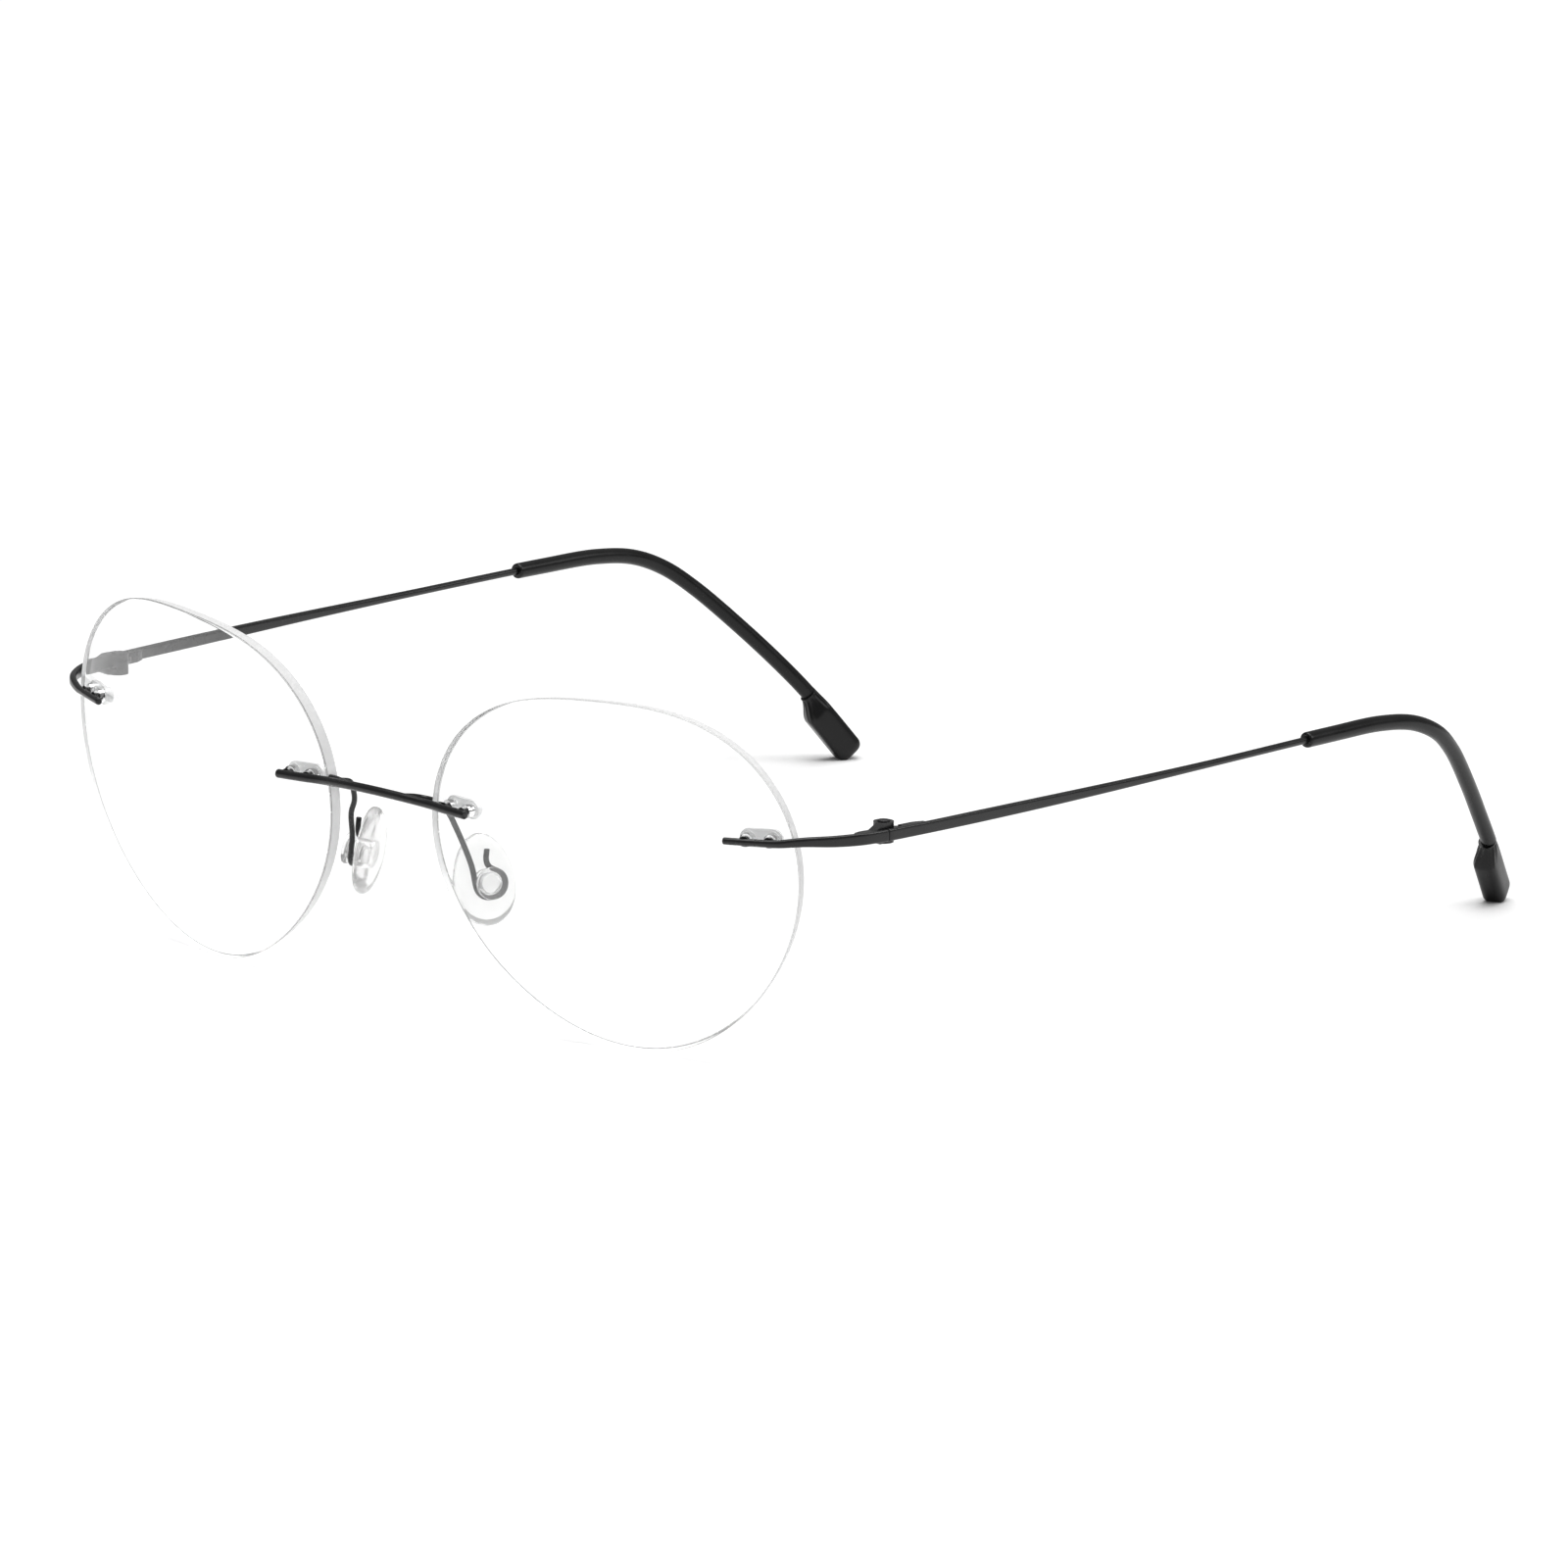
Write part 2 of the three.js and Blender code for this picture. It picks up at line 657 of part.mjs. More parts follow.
function templeTip() {
  const stations = [
    sleeveStart,
    sleeveStart + TIP.mouthChamfer,
    ...sleeveStations.slice(1),
    ...evenly(shoulderStart, shoulderStart + TIP.shoulderLength, 4),
    ...evenly(shoulderStart + TIP.shoulderLength, templeLength - TIP.endRounding, 3).slice(1),
    ...domeStations(templeLength, TIP.endRounding, -1).reverse(),
  ];
  const outside = sweep(templeCurve, stations, tipSection, TIP.sides);
  const boreRadius = TEMPLE.wireRadius + TIP.coreGap;
  const boreStations = [sleeveStart - 0.6, ...sleeveStations, coreEnd + 0.2];
  const bore = sweep(templeCurve, boreStations, () => ({ height: boreRadius, width: boreRadius }), TIP.sides);
  const floor = new THREE.BoxGeometry(20, 20, 10).translate(57, 140, -5);
  return cut(outside, bore, floor);
}

// ---------------------------------------------------------------- nose pads

const padUp = new THREE.Vector3(-0.205, -0.047, 0.975).normalize();
const padBack = new THREE.Vector3().crossVectors(PAD.towardsNose, padUp).normalize();
const padFrameUp = new THREE.Vector3().crossVectors(padBack, PAD.towardsNose).normalize();

// A point by its distances from the ring's centre: back across the pad, up it, and towards the nose.
function padPoint(back, up, nose) {
  return PAD.ringCentre.clone()
    .addScaledVector(padBack, back)
    .addScaledVector(padFrameUp, up)
    .addScaledVector(PAD.towardsNose, nose);
}

const padMatrix = new THREE.Matrix4()
  .makeBasis(padBack, PAD.towardsNose, padFrameUp)
  .setPosition(PAD.ringCentre);

function padArmCurve() {
  const ring = evenly(180, 425, 13).map((degrees) => {
    const angle = THREE.MathUtils.degToRad(degrees);
    return padPoint(PAD_ARM.ringRadius * Math.cos(angle), PAD_ARM.ringRadius * Math.sin(angle), 0);
  });
  const bridgeLine = bridgeCurve();
  const reach = BRIDGE.wireRadius + PAD_ARM.wireRadius + FIT_GAP;
  const offset = new THREE.Vector3(0, reach * Math.cos(PAD_ARM.footRise), reach * Math.sin(PAD_ARM.footRise));
  const foot = PAD_ARM.footAlong.map((u) => bridgeLine.getPointAt(u).add(offset));
  const elbow = foot[foot.length - 1];
  const bend = [[0.35, 0.9, -0.3], [0.4, 2.1, -0.8], [0.45, 4.0, -1.35], [0.75, 4.9, -2.75], [1.1, 5.4, -4.05]];
  const drop = [
    ...foot,
    ...bend.map((step) => elbow.clone().add(new THREE.Vector3(...step))),
    padPoint(-2.7, 6.0, 0.2),
    padPoint(-1.9, 2.4, 0),
  ];
  const tail = [
    padPoint(0.3, 2.05, 0),
    padPoint(0.05, 2.9, 0),
    padPoint(0.35, PAD_ARM.tailHeight, 0),
  ];
  return new THREE.CatmullRomCurve3([...drop, ...ring, ...tail], false, "centripetal");
}

// The arm is swept with minimal twist, because its ring turns through every direction.
function padArm() {
  const curve = padArmCurve();
  const steps = 64;
  const frames = curve.computeFrenetFrames(steps, false);
  const sides = 8;
  const rings = evenly(0, 1, steps).map((u, step) => {
    const centre = curve.getPointAt(u);
    return Array.from({ length: sides }, (_, i) => {
      const angle = (-2 * Math.PI * i) / sides;
      return centre.clone()
        .addScaledVector(frames.normals[step], PAD_ARM.wireRadius * Math.cos(angle))
        .addScaledVector(frames.binormals[step], PAD_ARM.wireRadius * Math.sin(angle));
    });
  });
  return skin([[curve.getPointAt(0)], ...rings, [curve.getPointAt(1)]]);
}

// Clear core: a flange outside the ring, a neck through it and a plug moulded into the pad.
function padHub() {
  const half = HUB.grooveWidth / 2;
  const plugEnd = half + HUB.plugThickness;
  const points = [
    [0, -half - HUB.flangeThickness],
    [HUB.flangeRadius - 0.2, -half - HUB.flangeThickness],
    [HUB.flangeRadius, -half - HUB.flangeThickness + 0.2],
    [HUB.flangeRadius, -half],
    [HUB.neckRadius, -half],
    [HUB.neckRadius, half],
    [HUB.plugRadius, half + 0.15],
    [HUB.plugRadius, plugEnd],
    [0, plugEnd],
  ].map(([radius, y]) => new THREE.Vector2(radius, y));
  return new THREE.LatheGeometry(points, 20).applyMatrix4(padMatrix);
}

// A pad is an oval cushion, wider below than above, with a soft edge and a pocket for the hub's plug.
function padRing(size, nose) {
  const segments = 28;
  return Array.from({ length: segments }, (_, i) => {
    const angle = (2 * Math.PI * i) / segments;
    const up = PAD.centreAboveRing + PAD.halfLength * size * Math.sin(angle);
    const waist = 1 - 0.1 * Math.sin(angle);
    const back = PAD.halfWidth * size * waist * Math.cos(angle);
    return padPoint(back, up, nose);
  });
}

function nosePad() {
  const back = HUB.grooveWidth / 2 + 0.12;
  const front = back + PAD.thickness;
  const middle = PAD.centreAboveRing;
  const cushion = skin([
    [padPoint(0, middle, back)],
    padRing(0.62, back),
    padRing(0.86, back + 0.2),
    padRing(0.97, back + 0.65),
    padRing(1, back + 1.05),
    padRing(0.95, back + 1.5),
    padRing(0.8, front - 0.25),
    padRing(0.45, front),
    [padPoint(0, middle, front + 0.05)],
  ]);
  const pocket = cylinder(
    HUB.plugRadius + FIT_GAP,
    padPoint(0, 0, back - 1),
    padPoint(0, 0, HUB.grooveWidth / 2 + HUB.plugThickness + FIT_GAP),
    20,
  );
  return cut(cushion, pocket);
}

// ---------------------------------------------------------------- assembly

function mirrored(geometry) {
  const copy = geometry.index ? geometry.toNonIndexed() : geometry.clone();
  const position = copy.attributes.position;
  for (let i = 0; i < position.count; i += 3) {
    const corners = [0, 2, 1].map((k) => new THREE.Vector3().fromBufferAttribute(position, i + k));
    corners.forEach((corner, k) => position.setXYZ(i + k, -corner.x, corner.y, corner.z));
  }
  copy.computeVertexNormals();
  return copy;
}

const glasses = new THREE.Group();
glasses.name = "rimless_eyeglasses";

function addPiece(name, geometry, pieceMaterial) {
  const mesh = new THREE.Mesh(geometry, pieceMaterial);
  mesh.name = name;
  glasses.add(mesh);
}

function addPair(name, geometry, pieceMaterial) {
  addPiece(`${name}_left`, geometry, pieceMaterial);
  addPiece(`${name}_right`, mirrored(geometry), pieceMaterial);
}

addPair("lens", lens(), clearLens);
addPiece("bridge", bridge(), blackMetal);
addPair("bridge_outer_pin", pin(bridgePins, 1), blackMetal);
addPair("bridge_inner_pin", pin(bridgePins, 0), blackMetal);
addPair("bridge_sleeve", lensSleeve(bridgePins), clearPlastic);
addPair("endpiece", endpiece(), blackMetal);
addPair("endpiece_inner_pin", pin(endpiecePins, 0), blackMetal);
addPair("endpiece_outer_pin", pin(endpiecePins, 1), blackMetal);
addPair("endpiece_sleeve", lensSleeve(endpiecePins), clearPlastic);
addPair("pad_arm", padArm(), blackMetal);
addPair("pad_hub", padHub(), clearPlastic);
addPair("nose_pad", nosePad(), silicone);
addPair("hinge_front_leaf", hingeFrontLeaf(), blackMetal);
addPair("hinge_rear_leaf", hingeRearLeaf(), blackMetal);
addPair("hinge_screw", hingeScrew(), blackMetal);
addPair("temple", temple(), blackMetal);
addPair("temple_tip", templeTip(), blackPlastic);

// The origin is under the middle of the glasses' box.
const extent = new THREE.Box3().setFromObject(glasses);
glasses.position.y = -(extent.min.y + extent.max.y) / 2;
glasses.updateMatrixWorld(true);

export default glasses;
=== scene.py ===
"""Rimless eyeglasses: the finished look of every piece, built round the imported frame.

Shapes are laid out in millimetres and become metres when a mesh is made. The left side is built in place
and the right side is its mirror image. +X is the wearer's left, -Y is the front and +Z is up.
"""
import json
import math
from types import SimpleNamespace

import bpy
import numpy as np
from mathutils import Matrix, Vector


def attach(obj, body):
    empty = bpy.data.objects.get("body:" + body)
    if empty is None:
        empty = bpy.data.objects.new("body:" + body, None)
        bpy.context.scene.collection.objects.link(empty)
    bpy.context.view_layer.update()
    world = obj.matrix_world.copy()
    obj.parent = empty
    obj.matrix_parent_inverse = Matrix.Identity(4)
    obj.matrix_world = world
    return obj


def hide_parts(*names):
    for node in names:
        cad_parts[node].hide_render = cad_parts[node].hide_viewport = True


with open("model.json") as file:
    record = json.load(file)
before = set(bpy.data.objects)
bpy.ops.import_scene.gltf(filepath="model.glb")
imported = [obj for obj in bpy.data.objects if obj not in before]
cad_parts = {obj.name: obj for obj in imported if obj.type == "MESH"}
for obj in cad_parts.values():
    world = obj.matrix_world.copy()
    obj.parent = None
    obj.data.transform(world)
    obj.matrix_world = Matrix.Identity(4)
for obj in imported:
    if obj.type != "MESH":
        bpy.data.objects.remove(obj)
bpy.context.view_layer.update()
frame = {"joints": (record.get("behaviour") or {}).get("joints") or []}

MM = 0.001

# ---------------------------------------------------------------- driving dimensions

LENS = SimpleNamespace(
    centre_x=36.9, centre_y=-4.6, wrap=math.radians(10.4), tilt=math.radians(6.9),
    face_radius=94.0, thickness=2.0, bevel=0.18,
    mean_radius=25.25, oval_lobe=2.15, brow_lobe=0.95, nasal_lobe=-0.29,
)
STAND_OFF = 0.45
PIN = SimpleNamespace(radius=0.4, collar_radius=0.68, sunk_share=0.4, short_of_dome=0.35)
SLEEVE = SimpleNamespace(
    barrel_radius=0.8, plate_radius=1.2, plate_thickness=0.4,
    dome_radius=0.98, dome_height=0.6, front_recess=0.3, hole_radius=0.86, bore_radius=0.46,
    lens_gap=0.1, overlap=0.1, rounding=0.35, softening=0.06,
)
BRIDGE = SimpleNamespace(
    wire_radius=0.57, height=4.7, end_across=-20.4, pins=(-24.7, -21.5), arch_rise=0.5, arch_reach=0.9,
)
ENDPIECE = SimpleNamespace(
    wire_radius=0.46, height=6.75, start_across=17.9, pins=(20.5, 23.6), end_y=13.84,
)
HINGE = SimpleNamespace(
    x=66.75, y=15.1, z=30.95, barrel_radius=1.3, knuckle_height=0.8, knuckle_gap=0.12,
    screw_radius=0.45, head_radius=0.8, head_height=0.35, head_sunk_share=0.6,
    screw_clearance=0.04, seat_clearance=0.05,
    leaf_thickness=0.85, leaf_height=1.4,
    front_leaf=(9.3, 12.9), rear_leaf=(16.7, 20.6), bevel=0.1,
)
TEMPLE = SimpleNamespace(
    start_y=13.9, half_height=0.76, half_width=0.42, wire_radius=0.46,
    taper_start_y=26.0, taper_end_y=78.0, sleeve_y=90.2,
)
TIP = SimpleNamespace(
    radius=1.02, mouth_radius=0.86, mouth_rounding=0.4, bore_radius=0.5, bore_depth=6.0,
    shoulder_from_end=10.4, paddle_half_height=1.9, paddle_half_width=1.6,
    shoulder_length=2.9, end_rounding=1.3, lip=0.15, flutes=11, flute_depth=0.16,
)
PAD = SimpleNamespace(
    ring_centre=(12.15, 2.2, 17.6), towards_nose=(-0.9, 0.41, -0.17), up=(-0.205, -0.047, 0.975),
    centre_above_ring=0.4, half_length=5.85, half_width=3.95, thickness=2.1,
)
PAD_ARM = SimpleNamespace(
    wire_radius=0.36, ring_radius=1.8, solder_depth=0.05,
    foot_along=(0.355, 0.3, 0.25), foot_rises=np.radians((-8, 14, 25)),
    bend=((0.35, 0.9, -0.3), (0.4, 2.1, -0.8), (0.45, 4.0, -1.35), (0.75, 4.9, -2.75), (1.1, 5.4, -4.05)),
    drop=((-2.7, 6.0, -0.35), (-1.9, 2.4, -0.05)),
    ring_turns=np.radians(np.linspace(180, 425, 14)),
    tail=((0.3, 2.05, 0), (0.05, 2.9, -0.1), (0.35, 4.3, -0.25)),
)
HUB = SimpleNamespace(
    flange_radius=2.05, flange_thickness=0.6, neck_radius=1.2, groove_width=1.4,
    plug_radius=1.7, plug_thickness=0.8, pocket_clearance=0.03,
)
# The camera stands in metres and turns in degrees. The floor is in millimetres.
CAMERA = SimpleNamespace(
    azimuth=43.27, elevation=12.91, roll=0.54, target=(0.0009, 0, 0.01784), distance=3.0,
    sensor_width=36.0, focal_length=539.6, clip_end=50.0,
)
FLOOR_HALF = 9000
FLOOR_DROP = 0.02
WORLD_STRENGTH = 0.28

# The layout starts from the hinge axis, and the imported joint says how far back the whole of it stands.
fold_joint = next(joint for joint in frame["joints"] if joint["name"] == "temple_fold_left")
BACK_SHIFT = fold_joint["pos_m"][1] / MM - HINGE.y

# ---------------------------------------------------------------- small maths


def vec(x, y, z):
    return np.array((x, y, z), float)


def unit(vector):
    return np.asarray(vector, float) / np.linalg.norm(vector)


def lerp(start, end, part):
    return start + (end - start) * part


def smoothstep(value, low, high):
    part = min(max((value - low) / (high - low), 0.0), 1.0)
    return part * part * (3 - 2 * part)


def rim_loss(distance, radius):
    """How far a rounded rim falls short of full size at this distance from the end."""
    rest = 1 - min(max(distance / radius, 0.0), 1.0)
    return radius * (1 - math.sqrt(1 - rest * rest))


def rim_stations(radius, count=6):
    """Distances from an end that follow a rounded rim closely."""
    return [radius * (1 - math.cos(step * math.pi / 2 / count)) for step in range(count + 1)]


def squircle(value, squareness):
    return math.copysign(abs(value) ** (2 / squareness), value)


class Path:
    """A centripetal curve through points, read by arc length."""

    def __init__(self, points, samples=60):
        points = [np.asarray(point, float) for point in points]
        knots = [2 * points[0] - points[1], *points, 2 * points[-1] - points[-2]]
        placed = [self.span(knots[i:i + 4], np.arange(samples) / samples) for i in range(len(points) - 1)]
        self.points = np.vstack([*placed, points[-1]])
        steps = np.linalg.norm(np.diff(self.points, axis=0), axis=1)
        self.arcs = np.concatenate(([0.0], np.cumsum(steps)))
        self.length = self.arcs[-1]

    @staticmethod
    def span(knots, parts):
        before, start, end, after = knots
        times = [math.sqrt(np.linalg.norm(b - a)) for a, b in zip(knots, knots[1:])]
        first, own, last = times
        leave = (start - before) / first - (end - before) / (first + own) + (end - start) / own
        arrive = (end - start) / own - (after - start) / (own + last) + (after - end) / last
        leave, arrive = leave * own, arrive * own
        cubic = 2 * start - 2 * end + leave + arrive
        square = 3 * end - 3 * start - 2 * leave - arrive
        parts = parts[:, None]
        return start + leave * parts + square * parts ** 2 + cubic * parts ** 3

    def at(self, arc):
        return np.array([np.interp(arc, self.arcs, self.points[:, axis]) for axis in range(3)])

    def tangent(self, arc, reach=0.05):
        low, high = max(arc - reach, 0.0), min(arc + reach, self.length)
        return unit(self.at(high) - self.at(low))

    def arc_at_y(self, y):
        """Arc length at which the path first reaches a given y."""
        return self.arcs[np.argmax(self.points[:, 1] >= y)]


# ---------------------------------------------------------------- mesh builders


def skin(rings):
    """Closes a stack of rings into a mesh. A ring of one point is a pole."""
    starts = np.cumsum([0] + [len(ring) for ring in rings])
    faces = []
    for level, (low, high) in enumerate(zip(rings, rings[1:])):
        count = max(len(low), len(high))
        for i in range(count):
            j = (i + 1) % count
            a, b = starts[level] + i % len(low), starts[level] + j % len(low)
            c, d = starts[level + 1] + j % len(high), starts[level + 1] + i % len(high)
            if len(low) == 1:
                faces.append((a, d, c))
            elif len(high) == 1:
                faces.append((a, c, b))
            else:
                faces.append((a, d, c, b))
    return np.vstack(rings), faces


def capped(rings):
    return skin([[np.mean(rings[0], axis=0)], *rings, [np.mean(rings[-1], axis=0)]])


def sweep(path, stations, section, sides=32):
    """Sweeps section(arc) = (half height, half width, squareness, shift up, shift aside) along a path."""
    rings = []
    for arc in stations:
        centre, tangent = path.at(arc), path.tangent(arc)
        side = unit(np.cross(tangent, (0, 0, 1)))
        rise = np.cross(side, tangent)
        height, width, squareness, shift_up, shift_aside = section(arc)
        centre = centre + side * shift_aside + rise * shift_up
        angles = [2 * math.pi * (i + 0.5) / sides for i in range(sides)]
        rings.append([
            centre
            + side * width * squircle(math.cos(angle), squareness)
            + rise * height * squircle(math.sin(angle), squareness)
            for angle in angles
        ])
    return capped(rings)


def tube(path, radius, step, sides=20):
    """A round wire with rounded ends whose section never twists."""
    rim = radius * 0.35
    inner = np.linspace(rim, path.length - rim, max(2, round(path.length / step)))
    stations = [*rim_stations(rim)[:-1], *inner, *[path.length - d for d in rim_stations(rim)[-2::-1]]]
    tangent = path.tangent(0)
    side = unit(np.cross(tangent, (0.3, 0.2, 1)))
    rings = []
    for arc in stations:
        tangent = path.tangent(arc)
        side = unit(side - tangent * np.dot(side, tangent))
        rise = np.cross(side, tangent)
        size = radius - rim_loss(min(arc, path.length - arc), rim)
        angles = [2 * math.pi * i / sides for i in range(sides)]
        rings.append([path.at(arc) + size * (side * math.cos(a) + rise * math.sin(a)) for a in angles])
    return capped(rings)


def lathe(profile, origin, axis, sides=48):
    """Turns (radius, height) points about an axis through origin. A radius of 0 is a pole."""
    axis = unit(axis)
    side = unit(np.cross(axis, (0.31, 0.2, 0.93)))
    rise = np.cross(side, axis)
    rings = []
    for radius, height in profile:
        centre = np.asarray(origin, float) + axis * height
        if radius == 0:
            rings.append([centre])
            continue
        angles = [2 * math.pi * i / sides for i in range(sides)]
        rings.append([centre + radius * (side * math.cos(a) + rise * math.sin(a)) for a in angles])
    return skin(rings)


def rounded(profile, radius, steps=4):
    """Rounds the inner corners of an open (radius, height) profile."""
    result = [profile[0]]
    for before, corner, after in zip(profile, profile[1:], profile[2:]):
        before, corner, after = (np.array(point, float) for point in (before, corner, after))
        reach = min(radius, np.linalg.norm(before - corner) * 0.45, np.linalg.norm(after - corner) * 0.45)
        start = corner + unit(before - corner) * reach
        end = corner + unit(after - corner) * reach
        for step in range(steps + 1):
            part = step / steps
            result.append(tuple(lerp(lerp(start, corner, part), lerp(corner, end, part), part)))
    return [*result, profile[-1]]


def prism(corners, low, high):
    """An upright block over a plan outline given anticlockwise."""
    bottom = [vec(x, y, low) for x, y in corners]
    top = [vec(x, y, high) for x, y in corners]
    count = len(corners)
    faces = [(i, (i + 1) % count, (i + 1) % count + count, i + count) for i in range(count)]
    faces += [tuple(reversed(range(count))), tuple(range(count, 2 * count))]
    return np.array(bottom + top), faces


def mesh_object(name, shape):
    """An object from (points in mm, faces), at its place in the row frame."""
    points, faces = shape
    placed = (np.asarray(points) + (0, BACK_SHIFT, 0)) * MM
    mesh = bpy.data.meshes.new(name)
    mesh.from_pydata([tuple(point) for point in placed], [], [tuple(map(int, face)) for face in faces])
    mesh.update()
    obj = bpy.data.objects.new(name, mesh)
    bpy.context.scene.collection.objects.link(obj)
    return obj


def settle(obj):
    """Replaces an object's mesh with the result of its modifiers."""
    evaluated = obj.evaluated_get(bpy.context.evaluated_depsgraph_get())
    mesh = bpy.data.meshes.new_from_object(evaluated)
    obj.modifiers.clear()
    obj.data = mesh
    return obj


def combine(obj, shapes, operation):
    """Adds shapes to an object, or cuts them out of it."""
    for index, shape in enumerate(shapes):
        tool = mesh_object(f"{obj.name}_tool_{index}", shape)
        modifier = obj.modifiers.new("combine", "BOOLEAN")
        modifier.operation = operation
        modifier.solver = "EXACT"
        modifier.object = tool
        settle(obj)
        bpy.data.objects.remove(tool)
    return obj


def soften(obj, width, segments=3, angle=35):
    modifier = obj.modifiers.new("soften", "BEVEL")
    modifier.width = width * MM
    modifier.segments = segments
    modifier.limit_method = "ANGLE"
    modifier.angle_limit = math.radians(angle)
    return settle(obj)


def smooth(obj, sharp_angle=40):
    obj.data.shade_smooth()
    obj.data.set_sharp_from_angle(angle=math.radians(sharp_angle))
    return obj


def mirrored(obj, name):
    """A copy of an object in the plane x = 0."""
    copy = obj.copy()
    copy.data = obj.data.copy()
    copy.name = copy.data.name = name
    bpy.context.scene.collection.objects.link(copy)
    copy.data.transform(Matrix.Scale(-1, 4, Vector((1, 0, 0))))
    copy.data.flip_normals()
    return copy


def finish_piece(obj, node, body, slot, *materials):
    """Gives a piece its materials and lets it stand for its CAD node."""
    for index, material in enumerate(materials):
        if index < len(obj.data.materials):
            obj.data.materials[index] = material
        else:
            obj.data.materials.append(material)
    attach(obj, body)
    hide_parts(node)
    return obj


def pair(obj, node, body, slot, *materials):
    """The left piece and its mirror image. A body's name takes the side where it has one."""
    right = mirrored(obj, f"{node}_right_look")
    obj.name = obj.data.name = f"{node}_left_look"
    for side, piece in (("left", obj), ("right", right)):
        name = body if body == "front" else f"{body}_{side}"
        finish_piece(piece, f"{node}_{side}", name, slot, *materials)
    return obj, right


# ---------------------------------------------------------------- lenses


def turned(first, second, angle):
    """Two coordinates turned by an angle in their own plane."""
    cos, sin = math.cos(angle), math.sin(angle)
    return first * cos - second * sin, first * sin + second * cos


def turn_to_face(vector):
    """Tilts then wraps a vector from the lens's own frame into the row frame."""
    x, y, z = vector
    y, z = turned(y, z, LENS.tilt)
    x, y = turned(x, y, LENS.wrap)
    return vec(x, y, z)


def lens_normal(across, up):
    """The direction out of the front face of the left lens."""
    drop = math.sqrt(LENS.face_radius ** 2 - across ** 2 - up ** 2)
    return turn_to_face((across / LENS.face_radius, -drop / LENS.face_radius, up / LENS.face_radius))


def lens_surface(across, up, depth):
    """A point this deep under the front face, before the lens is set on the floor."""
    sag = LENS.face_radius - math.sqrt(LENS.face_radius ** 2 - across ** 2 - up ** 2)
    return turn_to_face((across, sag, up)) - lens_normal(across, up) * depth


def outline_radius(angle):
    return (
        LENS.mean_radius
        + LENS.oval_lobe * math.cos(2 * angle)
        + LENS.brow_lobe * math.sin(3 * angle)
        + LENS.nasal_lobe * math.cos(3 * angle)
    )


def outline_ring(share, depth, count=224):
    """Points of the left lens round its middle, at a share of the way out to its edge."""
    ring = []
    for i in range(count):
        angle = 2 * math.pi * i / count - math.pi / 2
        reach = outline_radius(angle) * share
        ring.append(lens_surface(reach * math.cos(angle), reach * math.sin(angle), depth))
    return ring


lens_lift = -min(point[2] for point in outline_ring(1, LENS.bevel))
lens_centre = vec(LENS.centre_x, LENS.centre_y, lens_lift)


def lens_point(across, up, depth):
    return lens_surface(across, up, depth) + lens_centre


def pin_pair(pins, up):
    """Where a pair of pins enters the front face, and the direction they share."""
    middle = sum(pins) / 2
    return SimpleNamespace(
        inwards=-lens_normal(middle, up),
        entries=[lens_point(across, up, 0) for across in pins],
        middle=lens_point(middle, up, 0),
    )


bridge_pins = pin_pair(BRIDGE.pins, BRIDGE.height)
endpiece_pins = pin_pair(ENDPIECE.pins, ENDPIECE.height)


def lens():
    """A curved blank with a rounded, ground edge and four drilled holes."""
    corner = LENS.bevel / LENS.mean_radius
    shares = [0.06, 0.2, 0.36, 0.52, 0.66, 0.78, 0.87, 0.93, 0.97, 1 - 2.2 * corner]
    turns = [step * math.pi / 8 for step in range(5)]
    rims = [(1 - corner * (1 - math.sin(turn)), LENS.bevel * (1 - math.cos(turn))) for turn in turns]
    wall = [LENS.bevel * 1.6, LENS.thickness / 2, LENS.thickness - LENS.bevel * 1.6]
    front = [(share, 0.0) for share in shares]
    back = [(share, LENS.thickness) for share in reversed(shares)]
    rear_rims = [(share, LENS.thickness - depth) for share, depth in reversed(rims)]
    levels = [*front, *rims, *[(1.0, depth) for depth in wall], *rear_rims, *back]
    rings = [[lens_surface(0, 0, 0)], *[outline_ring(*level) for level in levels]]
    rings.append([lens_surface(0, 0, LENS.thickness)])
    points, faces = skin(rings)
    blank = mesh_object("lens", (points + lens_centre, faces))
    first_wall, last_wall = len(front) + len(rims), len(levels) - len(back) - len(rims)
    for face in blank.data.polygons:
        level = (min(face.vertices) - 1) // len(rings[1]) + 1
        if first_wall <= level <= last_wall:
            face.material_index = 1
        elif len(front) < level < len(levels) - len(back):
            face.material_index = 2
    through = LENS.thickness + 1
    drill = [(0, -1), (SLEEVE.hole_radius, -1), (SLEEVE.hole_radius, through), (0, through)]
    holes = [
        lathe(drill, entry, group.inwards, sides=40)
        for group in (bridge_pins, endpiece_pins) for entry in group.entries
    ]
    return smooth(combine(blank, holes, "DIFFERENCE"), 35)


# ---------------------------------------------------------------- pins and lens sleeves

SLEEVE_BACK = LENS.thickness + SLEEVE.lens_gap + SLEEVE.plate_thickness + SLEEVE.dome_height


def pin(group, index, wire_radius):
    """A pin soldered to the wire in front, with a filleted collar, and rounded at its far end."""
    head = -STAND_OFF - PIN.sunk_share * wire_radius
    tip = SLEEVE_BACK - PIN.short_of_dome
    profile = [(0, head), (PIN.collar_radius, head)]
    for step in range(9):
        part = step / 8
        reach = 1 - math.sin(part * math.pi / 2)
        profile.append((lerp(PIN.radius, PIN.collar_radius, reach), lerp(-STAND_OFF - 0.12, -0.05, part)))
    profile += [(PIN.radius, tip - 0.15), (PIN.radius - 0.05, tip - 0.04), (PIN.radius - 0.15, tip), (0, tip)]
    return smooth(mesh_object("pin", lathe(profile, group.entries[index], group.inwards, sides=32)))


